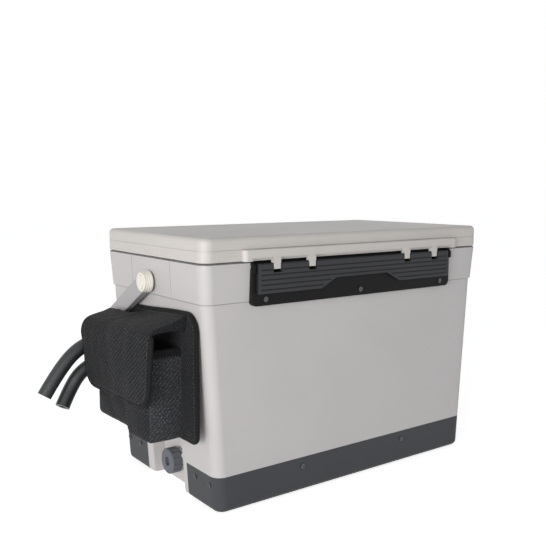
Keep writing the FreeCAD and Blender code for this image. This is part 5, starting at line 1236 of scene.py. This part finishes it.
def make_hook_patch():
    """Hook tape inside the flap, facing the loop tape."""
    middle = POCKET_FRONT + POCKET_FACE / 2 - FLAP_FRONT
    hem = flap_run(middle)
    columns = spaced(middle - PATCH_HALF, middle + PATCH_HALF, CLOTH_STEP)
    patch = cloth_grid("pouch_hook_tape", columns, spaced(hem - 30.0, hem - 12.0, CLOTH_STEP),
                       lambda p, q: (p, q), FLAP, -FLAP_THICKNESS)
    thicken(patch, PATCH_THICKNESS)
    bend_with_flap(patch, "hook_tape", HOOK_TAPE)
    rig.replaces(patch, "hook_patch")


# ---------------------------------------------------------------- studio
CAMERA_PLACE = (-0.6713, -0.8607, 0.3929)
CAMERA_TILT, CAMERA_TURN = 83.5, -36.05
SENSOR_WIDTH, FOCAL_PIXELS, PICTURE_WIDTH = 36.0, 748.68, 546.0
# The sky's strength at the horizon, and how much of it is missing overhead.
SKY_STRENGTH, SKY_FALL = 0.54, 0.28
SKY_TINT = (0.97, 0.98, 1.0, 1.0)
FLOOR_SIZE, FLOOR_DROP = 14.0, 0.0005
FLOOR_GREY = (0.86, 0.86, 0.86, 1.0)
# The floor's glow to the object, and what is added where the camera sees it.
FLOOR_GLOW, FLOOR_SEEN_GLOW = 0.14, 0.57
# Name, place, target, size, watts and colour.
LAMPS = (
    ("key", (-2.5, -1.35, 0.42), (-0.05, 0.0, 0.18), 1.3, 58.0, (1.0, 0.985, 0.96)),
    ("low fill", (-1.15, -1.7, 0.25), (-0.2, -0.1, 0.2), 0.7, 6.0, (1.0, 1.0, 1.0)),
)


def make_camera():
    data = bpy.data.cameras.new("camera")
    camera = add_object("camera", data)
    camera.location = CAMERA_PLACE
    camera.rotation_euler = (math.radians(CAMERA_TILT), 0.0, math.radians(CAMERA_TURN))
    data.sensor_width = SENSOR_WIDTH
    data.lens = FOCAL_PIXELS * SENSOR_WIDTH / PICTURE_WIDTH
    bpy.context.scene.camera = camera


def area_light(name, place, target, size, power, colour):
    data = bpy.data.lights.new(name, "AREA")
    data.size = size
    data.energy = power
    data.color = colour
    lamp = add_object(name, data)
    lamp.location = place
    lamp.rotation_euler = (Vector(target) - Vector(place)).to_track_quat("-Z", "Y").to_euler()


def seen_directly(s):
    """1 where a ray comes from the camera, a gloss or a glass surface."""
    path = s.add("ShaderNodeLightPath")
    either = s.math("MAXIMUM", path.outputs["Is Camera Ray"], path.outputs["Is Glossy Ray"])
    return s.math("MAXIMUM", either, path.outputs["Is Transmission Ray"])


def make_world():
    world = bpy.data.worlds.new("studio")
    bpy.context.scene.world = world
    world.use_nodes = True
    world.node_tree.nodes.clear()
    s = Shader(world.node_tree)
    height = s.split(s.add("ShaderNodeTexCoord").outputs["Generated"])["Z"]
    overhead = s.ramp(height, low=0.1, high=0.9)
    strength = s.math("SUBTRACT", SKY_STRENGTH, s.math("MULTIPLY", overhead, SKY_FALL))
    soft = s.fill(s.add("ShaderNodeBackground"), Color=SKY_TINT, Strength=strength)
    white = s.fill(s.add("ShaderNodeBackground"), Color=(1.0, 1.0, 1.0, 1.0), Strength=1.0)
    blend = s.fill(s.add("ShaderNodeMixShader"), Fac=seen_directly(s))
    s.link(soft.outputs["Background"], blend.inputs[1])
    s.link(white.outputs["Background"], blend.inputs[2])
    s.fill(s.add("ShaderNodeOutputWorld"), Surface=blend.outputs["Shader"])


def make_floor():
    """Pale floor that keeps the object's shadow."""
    clear_selection()
    bpy.ops.mesh.primitive_plane_add(size=FLOOR_SIZE, location=(0, 0, -FLOOR_DROP))
    floor = settle(named("studio_floor"))
    material = bpy.data.materials.new("pale floor")
    material.use_nodes = True
    material.node_tree.nodes.clear()
    s = Shader(material.node_tree)
    matte = s.fill(s.add("ShaderNodeBsdfDiffuse"), Color=FLOOR_GREY)
    seen_glow = s.math("MULTIPLY", seen_directly(s), FLOOR_SEEN_GLOW)
    glow = s.fill(s.add("ShaderNodeEmission"), Strength=s.math("ADD", FLOOR_GLOW, seen_glow))
    both = s.add("ShaderNodeAddShader")
    s.link(matte.outputs["BSDF"], both.inputs[0])
    s.link(glow.outputs["Emission"], both.inputs[1])
    s.fill(s.add("ShaderNodeOutputMaterial"), Surface=both.outputs["Shader"])
    paint(floor, material)
    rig.stage(floor)


def make_studio():
    make_camera()
    make_world()
    make_floor()
    for lamp in LAMPS:
        area_light(*lamp)
    bpy.context.scene.view_settings.view_transform = "Standard"


make_studio()
dress_cad_nodes()
make_knob_rings()
make_hoses()
make_panel()
make_pocket()
make_loop_patch()
make_flap()
make_hook_patch()

with open("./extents.json", "w") as file:
    json.dump({"cad": [list(corner) for corner in cad_box], "visual": [list(corner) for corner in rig.bounds()]}, file)
